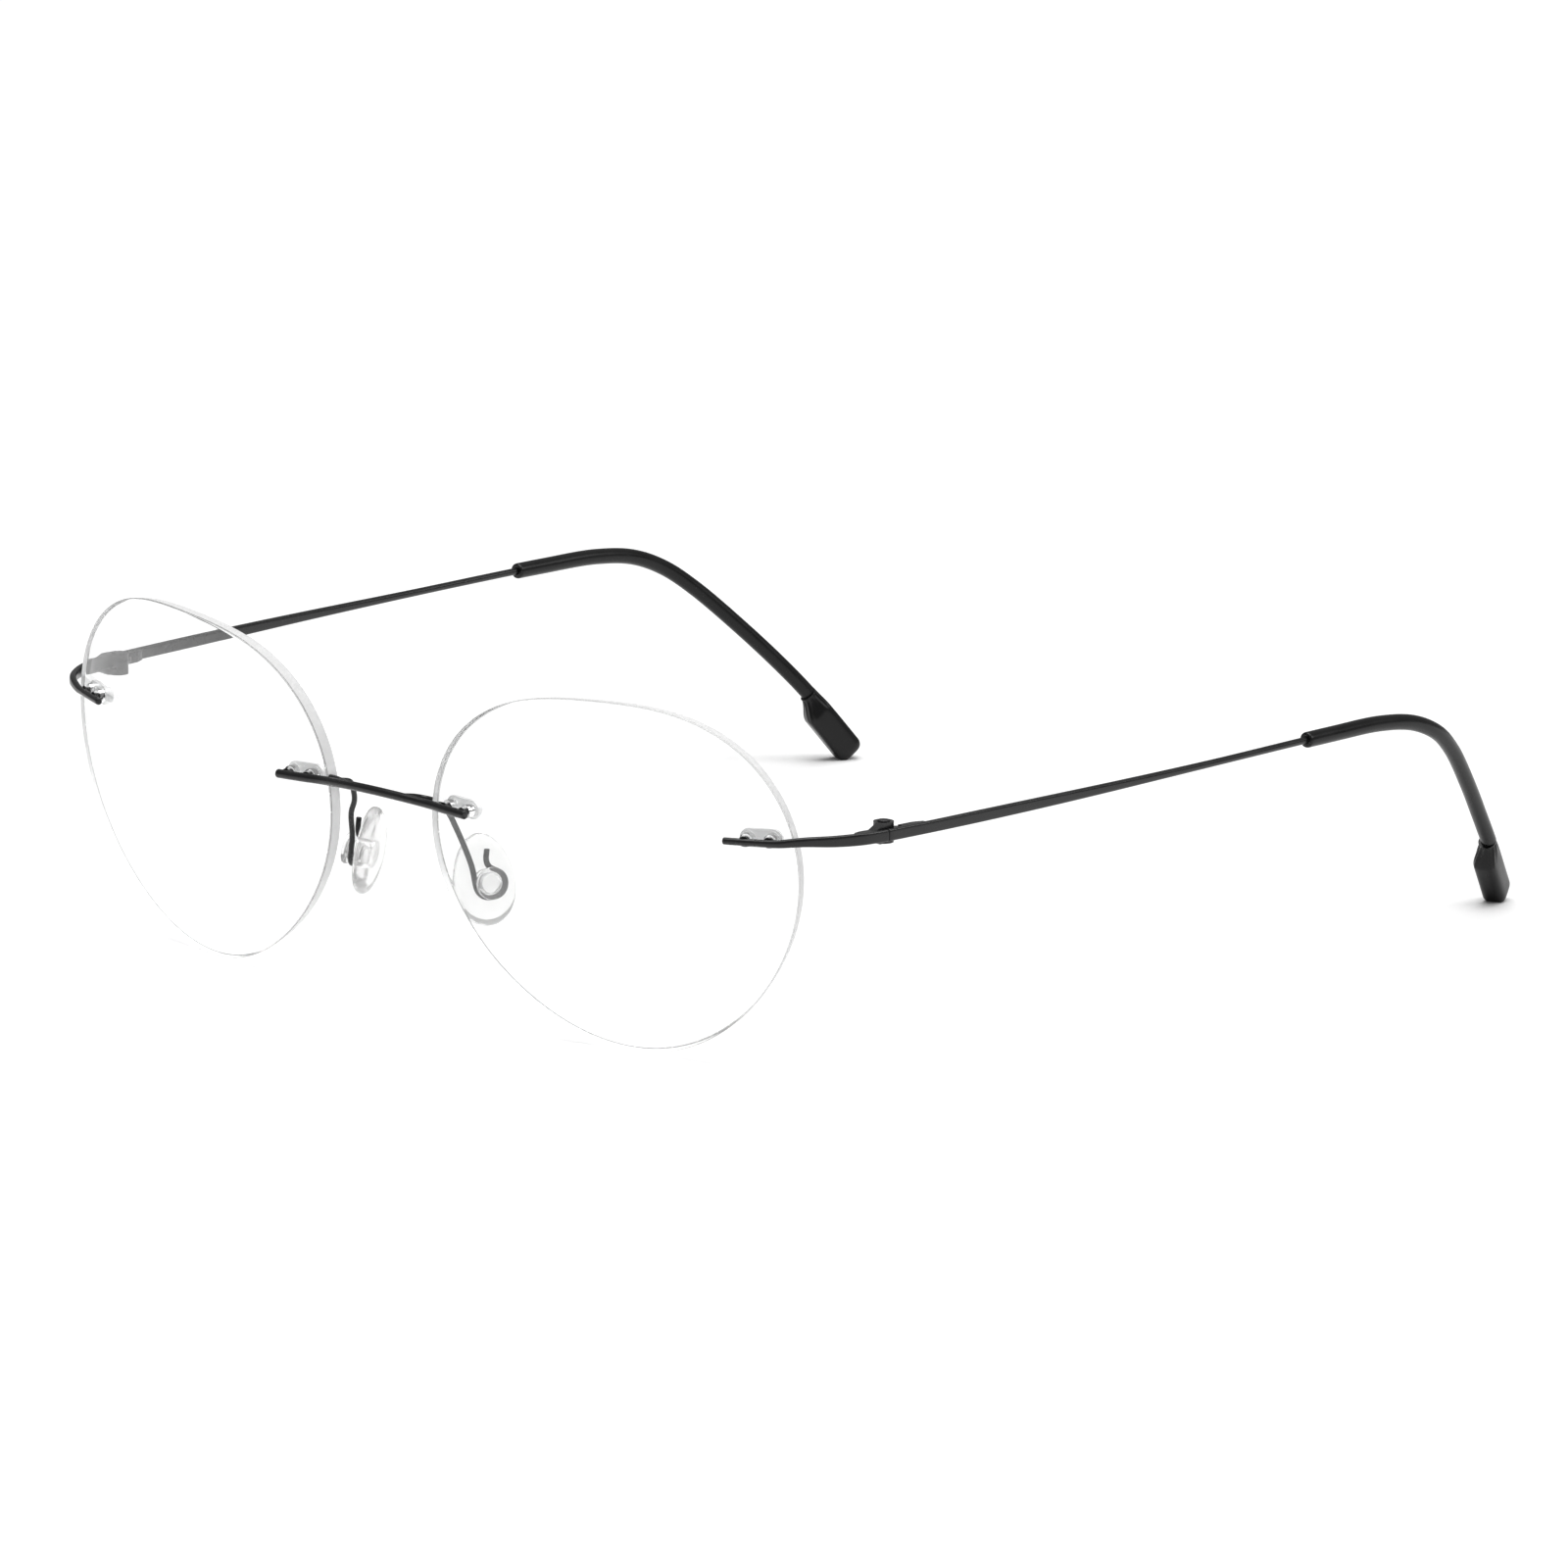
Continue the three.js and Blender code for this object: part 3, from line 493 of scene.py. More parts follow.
def stadium(group, radius, low, high):
    """A flat plate round both pins, between two depths."""
    across = unit(group.entries[1] - group.entries[0])
    above = unit(np.cross(group.inwards, across))
    across = np.cross(above, group.inwards)
    half = np.linalg.norm(group.entries[1] - group.entries[0]) / 2
    outline = []
    for side, start in ((1, -90), (-1, 90)):
        for step in range(17):
            angle = math.radians(start + step * 180 / 16)
            aside = across * (side * half + radius * math.cos(angle))
            outline.append(aside + above * radius * math.sin(angle))
    rings = [[group.middle + group.inwards * depth + point for point in outline] for depth in (low, high)]
    points, faces = skin(rings)
    count = len(outline)
    faces += [tuple(range(count)), tuple(reversed(range(count, 2 * count)))]
    return points, faces


def sleeve(group):
    """One clear moulding: two barrels through the lens, a plate behind it and a domed end on each."""
    front = LENS.thickness + SLEEVE.lens_gap
    plate_back = front + SLEEVE.plate_thickness
    body = mesh_object("sleeve", stadium(group, SLEEVE.plate_radius, front, plate_back))
    added = []
    for entry in group.entries:
        profile = [
            (0, SLEEVE.front_recess), (SLEEVE.barrel_radius, SLEEVE.front_recess),
            (SLEEVE.barrel_radius, front + SLEEVE.overlap), (SLEEVE.dome_radius, front + SLEEVE.overlap),
            (SLEEVE.dome_radius, SLEEVE_BACK), (0, SLEEVE_BACK),
        ]
        added.append(lathe(rounded(profile, SLEEVE.rounding), entry, group.inwards, sides=40))
    combine(body, added, "UNION")
    bore = [(0, -1), (SLEEVE.bore_radius, -1), (SLEEVE.bore_radius, SLEEVE_BACK + 1), (0, SLEEVE_BACK + 1)]
    combine(body, [lathe(bore, entry, group.inwards, sides=32) for entry in group.entries], "DIFFERENCE")
    return smooth(soften(body, SLEEVE.softening, 2), 50)


# ---------------------------------------------------------------- bridge and endpieces


def wire_point(across, up, radius):
    return lens_point(across, up, -(radius + STAND_OFF))


def bridge_path():
    acrosses = [
        BRIDGE.end_across, (BRIDGE.end_across + BRIDGE.pins[0]) / 2, BRIDGE.pins[0], BRIDGE.pins[0] - 2.2,
    ]
    half = [wire_point(across, BRIDGE.height, BRIDGE.wire_radius) for across in acrosses]
    edge = half[-1]
    half.append(vec(edge[0] * 0.52, edge[1] - BRIDGE.arch_reach * 0.62, edge[2] + BRIDGE.arch_rise * 0.66))
    crown = vec(0, edge[1] - BRIDGE.arch_reach, edge[2] + BRIDGE.arch_rise)
    return Path([*half, crown, *[point * (-1, 1, 1) for point in reversed(half)]])


def bar_section(radius, height, width, flat):
    """Size of a bar that goes from a round wire, flat = 0, to a tall rounded bar, flat = 1."""
    return lerp(radius, height, flat), lerp(radius, width, flat), lerp(2.0, 4.5, flat)


def bridge():
    path = bridge_path()
    return smooth(mesh_object("bridge_look", tube(path, BRIDGE.wire_radius, 0.35, sides=32)), 60)


def endpiece_path():
    acrosses = [ENDPIECE.start_across, *ENDPIECE.pins, ENDPIECE.pins[1] + 1.3]
    on_lens = [wire_point(across, ENDPIECE.height, ENDPIECE.wire_radius) for across in acrosses]
    sweep_back = [
        vec(64.1, 3.6, HINGE.z), vec(66.4, 6.6, HINGE.z), vec(67.9, 10.0, HINGE.z),
        vec(68.6, ENDPIECE.end_y, HINGE.z),
    ]
    return Path([*on_lens, *sweep_back])


def endpiece():
    """A round wire on the lens that flattens into a tall bar before the hinge."""
    path = endpiece_path()
    rim, end_rim = 0.25, 0.08

    def section(arc):
        flat = smoothstep(arc, path.length * 0.15, path.length * 0.85)
        height, width, squareness = bar_section(
            ENDPIECE.wire_radius, TEMPLE.half_height, TEMPLE.half_width, flat)
        loss = rim_loss(arc, rim) + rim_loss(path.length - arc, end_rim)
        return height - loss, width - loss, squareness, 0, 0

    stations = [
        *rim_stations(rim), *np.linspace(rim, path.length - end_rim, 70)[1:-1],
        *[path.length - distance for distance in reversed(rim_stations(end_rim, 3))],
    ]
    return smooth(mesh_object("endpiece", sweep(path, stations, section)), 50)


# ---------------------------------------------------------------- temples and tips


def temple_path():
    z = HINGE.z
    return Path([
        vec(68.6, TEMPLE.start_y, z), vec(69.15, 24, z), vec(69.75, 48, z), vec(69.7, 70, z),
        vec(69.2, 95, z + 0.03), vec(68.85, 105, z - 0.17), vec(68.5, 111.6, z - 1.2),
        vec(67.9, 116.8, z - 3.35), vec(66.6, 121.1, z - 6.45), vec(64.0, 127.1, z - 12.15),
        vec(61.4, 132.7, z - 18.05), vec(59.7, 136.6, z - 22.55), vec(57.3, 142.2, z - 29.85),
    ])


temple_line = temple_path()
sleeve_start = temple_line.arc_at_y(TEMPLE.sleeve_y)
shoulder_start = temple_line.length - TIP.shoulder_from_end


def temple():
    """A slim bar that tapers into a round wire and runs into the tip."""
    taper_start = temple_line.arc_at_y(TEMPLE.taper_start_y)
    taper_end = temple_line.arc_at_y(TEMPLE.taper_end_y)
    rim = 0.08
    end = sleeve_start + TIP.bore_depth - 0.5

    def section(arc):
        flat = 1 - smoothstep(arc, taper_start, taper_end)
        height, width, squareness = bar_section(
            TEMPLE.wire_radius, TEMPLE.half_height, TEMPLE.half_width, flat)
        loss = rim_loss(arc, rim)
        return height - loss, width - loss, squareness, 0, 0

    stations = [*rim_stations(rim, 3), *np.linspace(rim, end, 110)[1:]]
    return smooth(mesh_object("temple", sweep(temple_line, stations, section, sides=64)), 50)


def tip_size(arc):
    """Half height, half width, squareness and shifts of the tip's outside at an arc length."""
    from_end = temple_line.length - arc
    paddle = smoothstep(arc, shoulder_start, shoulder_start + TIP.shoulder_length)
    tube_radius = TIP.radius - (TIP.radius - TIP.mouth_radius) / TIP.mouth_rounding * rim_loss(
        arc - sleeve_start, TIP.mouth_rounding)
    lip = TIP.lip * (1 - paddle) if arc >= shoulder_start else 0.0
    loss = rim_loss(from_end, TIP.end_rounding) * 0.85
    height = lerp(tube_radius, TIP.paddle_half_height, paddle) + lip - loss
    width = lerp(tube_radius, TIP.paddle_half_width, paddle) + lip - loss
    shift_up = -paddle * (TIP.paddle_half_height - TIP.radius) - lip
    shift_aside = -paddle * (TIP.paddle_half_width - TIP.radius) - lip
    return height, width, lerp(2.0, 3.8, paddle), shift_up, shift_aside


def tip():
    """A tube with a rounded mouth, then a lip and a shoulder that swells into a soft four-sided paddle."""
    paddle_start = shoulder_start + TIP.shoulder_length
    rounding_start = temple_line.length - TIP.end_rounding
    step = 0.01
    stations = [
        *[sleeve_start + distance for distance in rim_stations(TIP.mouth_rounding)],
        *np.linspace(sleeve_start + TIP.mouth_rounding, shoulder_start - 0.3, 90)[1:],
        shoulder_start - 0.06, shoulder_start - step, shoulder_start, shoulder_start + 0.06,
        *np.linspace(shoulder_start + 0.15, paddle_start, 18),
        *np.linspace(paddle_start, rounding_start, 14)[1:],
        *[temple_line.length - distance for distance in reversed(rim_stations(TIP.end_rounding, 9)[:-1])],
    ]
    points, faces = sweep(temple_line, stations, tip_size, sides=72)
    obj = mesh_object("tip", (flute(points, stations), faces))
    bore_end = sleeve_start + TIP.bore_depth
    bore = sweep(
        temple_line, np.linspace(sleeve_start - 0.6, bore_end, 30),
        lambda arc: (TIP.bore_radius, TIP.bore_radius, 2.0, 0, 0), sides=32)
    floor_block = prism([(40, 130), (75, 130), (75, 155), (40, 155)], -5, 0)
    combine(obj, [bore, floor_block], "DIFFERENCE")
    return smooth(obj, 42)


def flute(points, stations, sides=72):
    """Presses the soft creases of the moulding into the shoulder of the paddle."""
    points = points.copy()
    for ring, arc in enumerate(stations):
        fade = smoothstep(arc, shoulder_start, shoulder_start + 0.4)
        fade *= 1 - smoothstep(arc, shoulder_start + 0.6, shoulder_start + TIP.shoulder_length * 1.25)
        if fade == 0:
            continue
        rows = slice(1 + ring * sides, 1 + (ring + 1) * sides)
        centre = points[rows].mean(axis=0)
        turns = np.arange(sides) * 2 * math.pi / sides
        outward = points[rows] - centre
        outward /= np.linalg.norm(outward, axis=1)[:, None]
        points[rows] -= outward * (fade * TIP.flute_depth * (0.5 - 0.5 * np.cos(TIP.flutes * turns)))[:, None]
    return points


# ---------------------------------------------------------------- hinges

BARREL_HEIGHT = 3 * HINGE.knuckle_height + 2 * HINGE.knuckle_gap
SEAT_HEIGHT = BARREL_HEIGHT / 2 - HINGE.head_height * HINGE.head_sunk_share
KNUCKLE_PITCH = HINGE.knuckle_height + HINGE.knuckle_gap
LEAF_FACE = TEMPLE.half_width - 0.02


def hinge_axis_point(z=0.0):
    return vec(HINGE.x, HINGE.y, HINGE.z + z)


def upright(radius, low, high, sides=56):
    """A cylinder on the hinge axis between two heights from its middle."""
    return lathe([(0, low), (radius, low), (radius, high), (0, high)], hinge_axis_point(), (0, 0, 1), sides)


def knuckle(index):
    middle = (index - 1) * KNUCKLE_PITCH
    return upright(HINGE.barrel_radius, middle - HINGE.knuckle_height / 2, middle + HINGE.knuckle_height / 2)


def screw_hole():
    return upright(HINGE.screw_radius + HINGE.screw_clearance, -BARREL_HEIGHT, BARREL_HEIGHT)


def beside(path, y, distance):
    """A plan point beside a bar at a given y, this far towards the wearer's head."""
    arc = path.arc_at_y(y)
    point, tangent = path.at(arc), path.tangent(arc)
    inward = unit((-tangent[1], tangent[0]))
    return point[0] + inward[0] * distance, point[1] + inward[1] * distance


def level_block(corners, middle, height):
    return prism(corners, HINGE.z + middle - height / 2, HINGE.z + middle + height / 2)


def side_block(profile, side, inner, outer):
    """A block with a (y, height) profile above the middle of the hinge, side 1, or below it, side -1."""
    inside = [vec(inner, y, HINGE.z + side * height) for y, height in profile]
    outside = [vec(outer, y, HINGE.z + side * height) for y, height in profile]
    count = len(profile)
    faces = [(i, i + count, (i + 1) % count + count, (i + 1) % count) for i in range(count)]
    faces += [tuple(range(count)), tuple(reversed(range(count, 2 * count)))]
    if side > 0:
        faces = [face[::-1] for face in faces]
    return np.array(inside + outside), faces


def front_leaf():
    """A welded plate inside the endpiece that carries the top and bottom knuckles."""
    start, end = HINGE.front_leaf
    thick = LEAF_FACE + 0.1 + HINGE.leaf_thickness
    bar = endpiece_path()
    face_x = bar.at(bar.length)[0] - TEMPLE.half_width - 0.1
    weld = np.linspace(start, end, 8)
    outside = [beside(bar, y, LEAF_FACE) for y in weld]
    inside = [
        beside(bar, y, LEAF_FACE + (thick - LEAF_FACE) * smoothstep(y, start - 1.2, start + 1.5))
        for y in weld
    ]
    arm = level_block(
        [*outside, (face_x, HINGE.y - 1.2), (face_x - HINGE.leaf_thickness, HINGE.y - 1.2), *inside[::-1]],
        0, HINGE.leaf_height)
    obj = mesh_object("front_leaf", arm)
    half = HINGE.knuckle_height / 2
    room = upright(HINGE.barrel_radius + 0.12, -half - HINGE.knuckle_gap, half + HINGE.knuckle_gap)
    combine(obj, [room], "DIFFERENCE")
    low, high = half + HINGE.knuckle_gap, BARREL_HEIGHT / 2
    slope = [(HINGE.y - 3.2, low), (HINGE.y - 1.5, high), (HINGE.y - 0.4, high), (HINGE.y - 0.4, low)]
    webs = [
        side_block(slope, 1, HINGE.x + 0.1, face_x + 0.05),
        side_block(slope, -1, HINGE.x + 0.1, face_x - 0.5),
    ]
    combine(obj, [*webs, knuckle(0), knuckle(2)], "UNION")
    seat = upright(HINGE.head_radius + HINGE.seat_clearance, SEAT_HEIGHT, BARREL_HEIGHT)
    combine(obj, [screw_hole(), seat], "DIFFERENCE")
    return smooth(soften(obj, HINGE.bevel * 0.7), 45)


def rear_leaf():
    """A plate welded inside the temple, with the middle knuckle at its front."""
    start, end = HINGE.rear_leaf
    weld = np.linspace(start, end, 6)
    thick = LEAF_FACE + HINGE.leaf_thickness
    outside = [beside(temple_line, y, LEAF_FACE) for y in weld]
    inside = [
        beside(temple_line, y, lerp(thick, LEAF_FACE + 0.35, smoothstep(y, end - 1.6, end)))
        for y in weld
    ]
    obj = mesh_object("rear_leaf", level_block([*outside, *inside[::-1]], 0, HINGE.leaf_height))
    web = level_block([
        (HINGE.x, HINGE.y - 0.2), beside(temple_line, HINGE.y + 0.4, LEAF_FACE + 0.08),
        beside(temple_line, start + 1.4, LEAF_FACE + 0.01), beside(temple_line, start + 1.4, thick - 0.05),
        (HINGE.x - HINGE.barrel_radius * 0.97, HINGE.y + 0.2),
    ], 0, HINGE.knuckle_height)
    combine(obj, [web, knuckle(1)], "UNION")
    combine(obj, [screw_hole()], "DIFFERENCE")
    return smooth(soften(obj, HINGE.bevel * 0.6), 45)


def screw():
    """A slotted screw on the hinge axis."""
    seat = SEAT_HEIGHT + HINGE.screw_clearance
    top = seat + HINGE.head_height
    profile = [
        (0, -BARREL_HEIGHT / 2 + 0.05), (HINGE.screw_radius, -BARREL_HEIGHT / 2 + 0.05),
        (HINGE.screw_radius, seat), (HINGE.head_radius, seat), (HINGE.head_radius, top), (0, top),
    ]
    obj = mesh_object("screw", lathe(rounded(profile, 0.12, 3), hinge_axis_point(), (0, 0, 1), 48))
    turn = math.radians(35)
    along = unit((math.cos(turn), math.sin(turn), 0))
    aside = np.cross((0, 0, 1), along)
    corners = [
        hinge_axis_point() + along * a * 1.2 + aside * b * 0.13
        for a, b in ((-1, -1), (1, -1), (1, 1), (-1, 1))
    ]
    slot = prism([(corner[0], corner[1]) for corner in corners], HINGE.z + top - 0.16, HINGE.z + top + 1)
    return smooth(soften(combine(obj, [slot], "DIFFERENCE"), 0.03, 2), 45)


# ---------------------------------------------------------------- nose pads

pad_nose = unit(PAD.towards_nose)
pad_back = unit(np.cross(pad_nose, PAD.up))
pad_rise = np.cross(pad_back, pad_nose)


def pad_point(back, up, nose):
    """A point by its distances from the ring's centre: back across the pad, up it, and towards the nose."""
    return vec(*PAD.ring_centre) + pad_back * back + pad_rise * up + pad_nose * nose


def pad_arm():
    """A wire that leaves the back of the bridge, drops to the pad and closes in an open ring with a tail."""
    bridge_line = bridge_path()
    reach = BRIDGE.wire_radius + PAD_ARM.wire_radius - PAD_ARM.solder_depth
    foot = [
        bridge_line.at(bridge_line.length * part) + vec(0, reach * math.cos(rise), reach * math.sin(rise))
        for part, rise in zip(PAD_ARM.foot_along, PAD_ARM.foot_rises)
    ]
    bend = [foot[-1] + step for step in PAD_ARM.bend]
    drop = [pad_point(*place) for place in PAD_ARM.drop]
    ring = [
        pad_point(PAD_ARM.ring_radius * math.cos(turn), PAD_ARM.ring_radius * math.sin(turn), 0)
        for turn in PAD_ARM.ring_turns
    ]
    tail = [pad_point(*place) for place in PAD_ARM.tail]
    path = Path([*foot, *bend, *drop, *ring, *tail], samples=30)
    return smooth(mesh_object("pad_arm", tube(path, PAD_ARM.wire_radius, 0.14, sides=24)), 60)


def pad_hub():
    """The clear core of a pad: a flange outside the ring, a neck through it and a plug in the pad."""
    half = HUB.groove_width / 2
    profile = [
        (0, -half - HUB.flange_thickness), (HUB.flange_radius, -half - HUB.flange_thickness),
        (HUB.flange_radius, -half), (HUB.neck_radius, -half), (HUB.neck_radius, half),
        (HUB.plug_radius, half), (HUB.plug_radius, half + HUB.plug_thickness), (0, half + HUB.plug_thickness),
    ]
    return smooth(mesh_object("pad_hub", lathe(rounded(profile, 0.22), PAD.ring_centre, pad_nose, 56)), 60)


def pad_ring(size, nose, dish=0.0, count=72):
    """An oval ring of the pad, wider below than above, whose ends bend away from the nose."""
    ring = []
    for i in range(count):
        angle = 2 * math.pi * i / count
        up = PAD.half_length * size * math.sin(angle)
        waist = 1 - 0.1 * math.sin(angle)
        back = PAD.half_width * size * waist * math.cos(angle)
        ring.append(pad_point(back, PAD.centre_above_ring + up, nose - dish * (up / PAD.half_length) ** 2))
    return ring


def nose_pad():
    """A soft oval cushion with a full rounded edge, a shallow face and a pocket for the hub."""
    low = HUB.groove_width / 2 + 0.12
    edge = PAD.thickness / 2
    middle = low + edge
    levels = []
    for step in range(17):
        turn = math.pi * (step / 16 - 0.5)
        reach = squircle(math.cos(turn), 2.6)
        nose = middle + edge * squircle(math.sin(turn), 2.6)
        levels.append((1 - (1 - reach) * edge * 1.25 / PAD.half_width, nose))
    inner = [0.55, 0.35, 0.15]
    rings = [
        [pad_point(0, PAD.centre_above_ring, low)],
        *[pad_ring(share * levels[0][0], low) for share in reversed(inner)],
        *[pad_ring(size, nose, dish=0.25 * (nose - low) / PAD.thickness) for size, nose in levels],
        *[pad_ring(share * levels[-1][0], low + PAD.thickness + 0.06, dish=0.25) for share in inner],
        [pad_point(0, PAD.centre_above_ring, low + PAD.thickness + 0.07)],
    ]
    obj = mesh_object("nose_pad", skin(rings))
    plug = HUB.plug_radius + HUB.pocket_clearance
    deep = HUB.groove_width / 2 + HUB.plug_thickness + HUB.pocket_clearance
    pocket = lathe(
        [(0, low - 1), (plug, low - 1), (plug, deep), (0, deep)], PAD.ring_centre, pad_nose, 56)
    combine(obj, [pocket], "DIFFERENCE")
    return smooth(obj, 50)


# ---------------------------------------------------------------- materials


class Nodes:
    """A node material under construction."""

    def __init__(self, name):
        self.material = bpy.data.materials.new(name)
        self.material.use_nodes = True
        self.tree = self.material.node_tree
        self.tree.nodes.clear()
        self.output = self.tree.nodes.new("ShaderNodeOutputMaterial")

    def add(self, kind, links=None, **settings):
        """Adds a node. settings are its properties or input values, links maps inputs to sockets."""
        node = self.tree.nodes.new(kind)
        for name, value in settings.items():
            if hasattr(node, name):
                setattr(node, name, value)
            else:
                node.inputs[name.replace("_", " ")].default_value = value
        for name, socket in (links or {}).items():
            self.tree.links.new(socket, node.inputs[name])
        return node

    def noise(self, scale, detail=3.0):
        """Noise over the object's own coordinates, scale features to a metre."""
        place = self.add("ShaderNodeTexCoord")
        return self.add(
            "ShaderNodeTexNoise", {"Vector": place.outputs["Object"]}, Scale=scale, Detail=detail
        ).outputs["Fac"]

    def range(self, value, low, high, source=(0.3, 0.7)):
        node = self.add(
            "ShaderNodeMapRange", {"Value": value},
            From_Min=source[0], From_Max=source[1], To_Min=low, To_Max=high)
        return node.outputs["Result"]

    def blend(self, factor, first, second):
        node = self.add("ShaderNodeMix", data_type="RGBA")
        self.tree.links.new(factor, node.inputs["Factor"])
        node.inputs[6].default_value = (*first, 1)
        node.inputs[7].default_value = (*second, 1)
        return node.outputs[2]

    def bump(self, height, strength, distance):
        node = self.add("ShaderNodeBump", {"Height": height}, Strength=strength, Distance=distance)
        return node.outputs["Normal"]

    def surface(self, shader):
        self.tree.links.new(shader, self.output.inputs["Surface"])
        return self.material


def clear_material(name, tints, roughness, ior, let_through, grain, clarity=1.0):
    """A clear solid that bends what is behind it and lets the lamps through to the floor."""
    nodes = Nodes(name)
    patches = nodes.range(nodes.noise(grain), 0.0, 1.0)
    links = {"Base Color": nodes.blend(patches, *tints)}
    if roughness[1] > 0:
        links["Roughness"] = nodes.range(nodes.noise(grain * 2.5, 2.0), *roughness)
    glass = nodes.add(
        "ShaderNodeBsdfPrincipled", links, Roughness=0.0, IOR=ior, Transmission_Weight=clarity)
    open_way = nodes.add("ShaderNodeBsdfTransparent", Color=(*let_through, 1))
    ray = nodes.add("ShaderNodeLightPath")
    mix = nodes.add("ShaderNodeMixShader")
    nodes.tree.links.new(ray.outputs["Is Shadow Ray"], mix.inputs[0])
    nodes.tree.links.new(glass.outputs["BSDF"], mix.inputs[1])
    nodes.tree.links.new(open_way.outputs["BSDF"], mix.inputs[2])
    return nodes.surface(mix.outputs["Shader"])


def solid_material(name, tints, roughness, metallic, specular, grain, bump_depth):
    """A dark coated surface with fine grain and slightly uneven sheen."""
    nodes = Nodes(name)
    grains = nodes.noise(grain, 5.0)
    patches = nodes.noise(grain / 25, 3.0)
    shader = nodes.add(
        "ShaderNodeBsdfPrincipled",
        {
            "Base Color": nodes.blend(nodes.range(patches, 0.0, 1.0), *tints),
            "Roughness": nodes.range(patches, *roughness),
            "Normal": nodes.bump(grains, 0.35, bump_depth),
        },
        Metallic=metallic, Specular_IOR_Level=specular)
    return nodes.surface(shader.outputs["BSDF"])


lens_clear = clear_material(
    "lens_polished", ((0.985, 0.99, 0.99), (0.995, 0.998, 0.998)), (0.0, 0.0),
    ior=1.5, let_through=(0.97, 0.975, 0.975), grain=60)
lens_edge = clear_material(
    "lens_ground_edge", ((0.86, 0.86, 0.86), (0.92, 0.92, 0.92)), (0.45, 0.6),
    ior=1.5, let_through=(0.35, 0.35, 0.35), grain=900, clarity=0.3)
# The grey tint of the safety bevel is painted shade: it draws a thin dark line round the lens outline.
lens_bevel_painted_outline = clear_material(
    "lens_safety_bevel_painted_shade", ((0.6, 0.6, 0.6), (0.7, 0.7, 0.7)), (0.15, 0.3),
    ior=1.5, let_through=(0.35, 0.35, 0.35), grain=900, clarity=0.5)
plastic_milky = clear_material(
    "clear_sleeve_plastic", ((0.96, 0.96, 0.96), (1.0, 1.0, 1.0)), (0.12, 0.28),
    ior=1.49, let_through=(0.85, 0.85, 0.85), grain=700, clarity=0.35)
plastic_clear = clear_material(
    "clear_hub_plastic", ((0.93, 0.93, 0.93), (0.97, 0.97, 0.97)), (0.03, 0.07),
    ior=1.4, let_through=(0.9, 0.9, 0.9), grain=600, clarity=0.95)
silicone = clear_material(
    "clear_silicone", ((0.93, 0.93, 0.925), (0.965, 0.965, 0.96)), (0.08, 0.14),
    ior=1.41, let_through=(0.86, 0.86, 0.86), grain=260, clarity=0.85)
black_metal = solid_material(
    "satin_black_metal", ((0.005, 0.005, 0.0054), (0.009, 0.009, 0.0094)), (0.22, 0.3),
    metallic=0.0, specular=0.45, grain=9000, bump_depth=0.000008)
black_tip = solid_material(
    "satin_black_plastic", ((0.002, 0.002, 0.0022), (0.004, 0.004, 0.0042)), (0.25, 0.34),
    metallic=0.0, specular=0.28, grain=6000, bump_depth=0.00001)

# ---------------------------------------------------------------- assembly

pair(lens(), "lens", "front", "clear_lens", lens_clear, lens_edge, lens_bevel_painted_outline)
finish_piece(bridge(), "bridge", "front", "black_metal", black_metal)
pair(pin(bridge_pins, 1, BRIDGE.wire_radius), "bridge_outer_pin", "front", "black_metal", black_metal)
pair(pin(bridge_pins, 0, BRIDGE.wire_radius), "bridge_inner_pin", "front", "black_metal", black_metal)
pair(sleeve(bridge_pins), "bridge_sleeve", "front", "clear_plastic", plastic_milky)
pair(endpiece(), "endpiece", "front", "black_metal", black_metal)
pair(pin(endpiece_pins, 0, ENDPIECE.wire_radius), "endpiece_inner_pin", "front", "black_metal", black_metal)
pair(pin(endpiece_pins, 1, ENDPIECE.wire_radius), "endpiece_outer_pin", "front", "black_metal", black_metal)
pair(sleeve(endpiece_pins), "endpiece_sleeve", "front", "clear_plastic", plastic_milky)
pair(pad_arm(), "pad_arm", "front", "black_metal", black_metal)
pair(pad_hub(), "pad_hub", "pad", "clear_plastic", plastic_clear)
for pad in pair(nose_pad(), "nose_pad", "pad", "clear_silicone", silicone):
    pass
pair(front_leaf(), "hinge_front_leaf", "front", "black_metal", black_metal)
pair(rear_leaf(), "hinge_rear_leaf", "temple_arm", "black_metal", black_metal)
pair(screw(), "hinge_screw", "front", "black_metal", black_metal)
pair(temple(), "temple", "temple_arm", "black_metal", black_metal)
pair(tip(), "temple_tip", "temple_arm", "black_tip_plastic", black_tip)

# ---------------------------------------------------------------- floor, light and camera


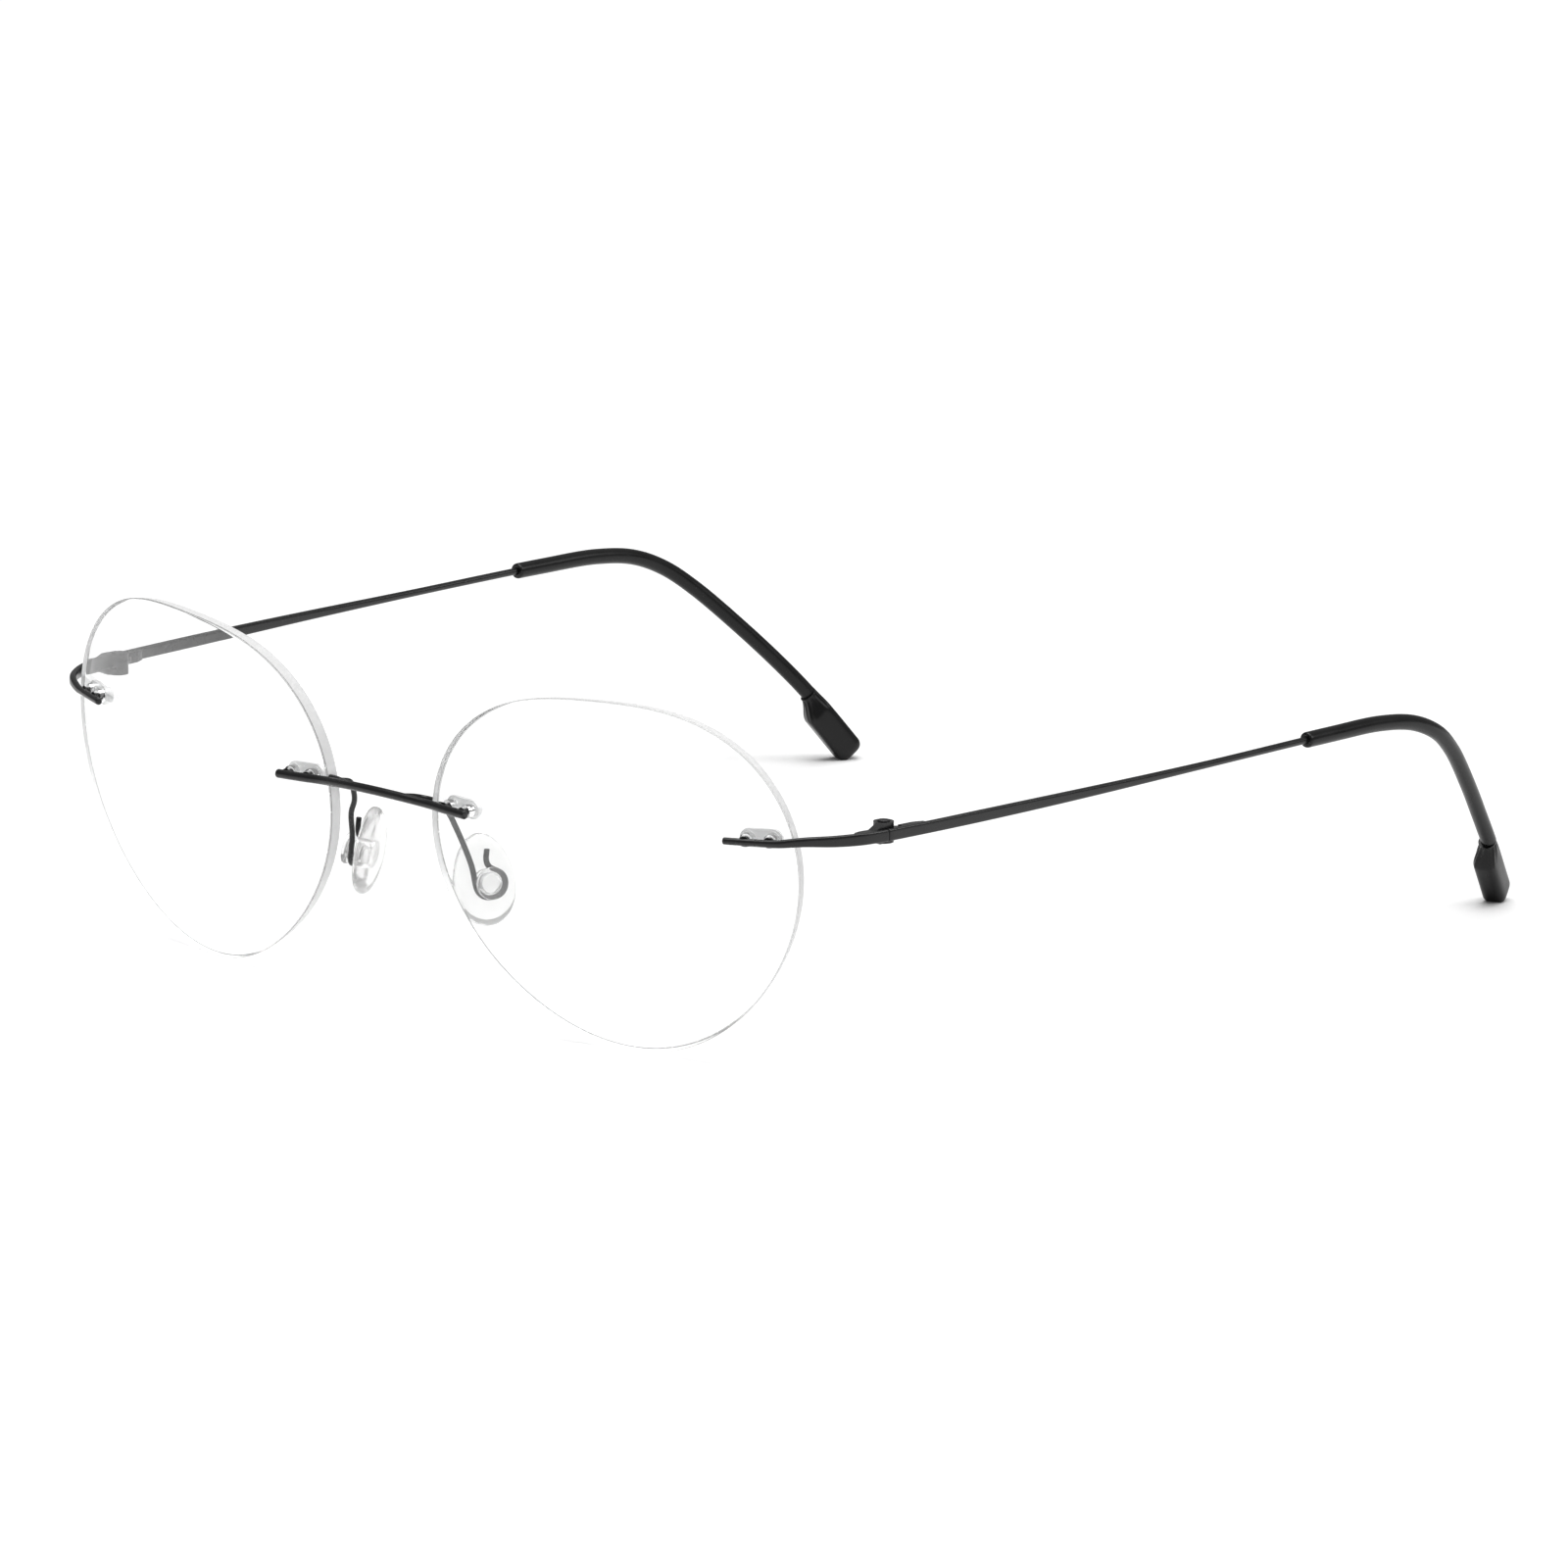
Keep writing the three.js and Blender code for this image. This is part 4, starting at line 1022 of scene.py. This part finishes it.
def make_floor():
    """A plain pale floor, just under the glasses so that no two faces lie in one plane."""
    points = [
        vec(x * FLOOR_HALF, y * FLOOR_HALF, 0)
        for x, y in ((-1, -1), (1, -1), (1, 1), (-1, 1))
    ]
    floor = mesh_object("floor", (points, [(0, 1, 2, 3)]))
    nodes = Nodes("white_floor")
    paper = nodes.noise(40, 4.0)
    shader = nodes.add(
        "ShaderNodeBsdfPrincipled",
        {"Base Color": nodes.blend(nodes.range(paper, 0.0, 1.0), (0.9, 0.9, 0.9), (0.915, 0.915, 0.915))},
        Roughness=0.85, Specular_IOR_Level=0.1)
    floor.data.materials.append(nodes.surface(shader.outputs["BSDF"]))
    floor.location.z = -FLOOR_DROP * MM


def area_light(name, place, target, size, power):
    """A soft square lamp, placed and aimed in metres."""
    light = bpy.data.lights.new(name, "AREA")
    light.shape = "SQUARE"
    light.size = size
    light.energy = power
    lamp = bpy.data.objects.new(name, light)
    bpy.context.scene.collection.objects.link(lamp)
    lamp.location = place
    lamp.rotation_euler = (Vector(target) - Vector(place)).to_track_quat("-Z", "Y").to_euler()


def make_world(strength):
    world = bpy.data.worlds.new("studio")
    world.use_nodes = True
    world.node_tree.nodes["Background"].inputs["Color"].default_value = (1, 1, 1, 1)
    world.node_tree.nodes["Background"].inputs["Strength"].default_value = strength
    bpy.context.scene.world = world


def make_camera():
    """The camera stands to the wearer's left of the front, a little above the glasses, with a long lens."""
    azimuth = math.radians(CAMERA.azimuth)
    elevation = math.radians(CAMERA.elevation)
    roll = math.radians(CAMERA.roll)
    camera = bpy.data.cameras.new("camera")
    camera.sensor_width = CAMERA.sensor_width
    camera.lens = CAMERA.focal_length
    camera.clip_end = CAMERA.clip_end
    level = math.cos(elevation)
    back = Vector((math.sin(azimuth) * level, -math.cos(azimuth) * level, math.sin(elevation)))
    flat_right = Vector((math.cos(azimuth), math.sin(azimuth), 0))
    flat_up = back.cross(flat_right)
    right = flat_right * math.cos(roll) + flat_up * math.sin(roll)
    up = flat_up * math.cos(roll) - flat_right * math.sin(roll)
    viewer = bpy.data.objects.new("camera", camera)
    bpy.context.scene.collection.objects.link(viewer)
    turn = Matrix((right, up, back)).transposed().to_4x4()
    viewer.matrix_world = Matrix.Translation(Vector(CAMERA.target) + back * CAMERA.distance) @ turn
    bpy.context.scene.camera = viewer


make_floor()
make_world(WORLD_STRENGTH)
area_light("overhead", (0.0, 0.1, 1.7), (0, 0, 0), 1.7, 34)
area_light("right_back", (1.7, 1.3, 1.5), (0, 0, 0), 0.9, 14)
make_camera()
bpy.context.scene.view_settings.view_transform = "Standard"
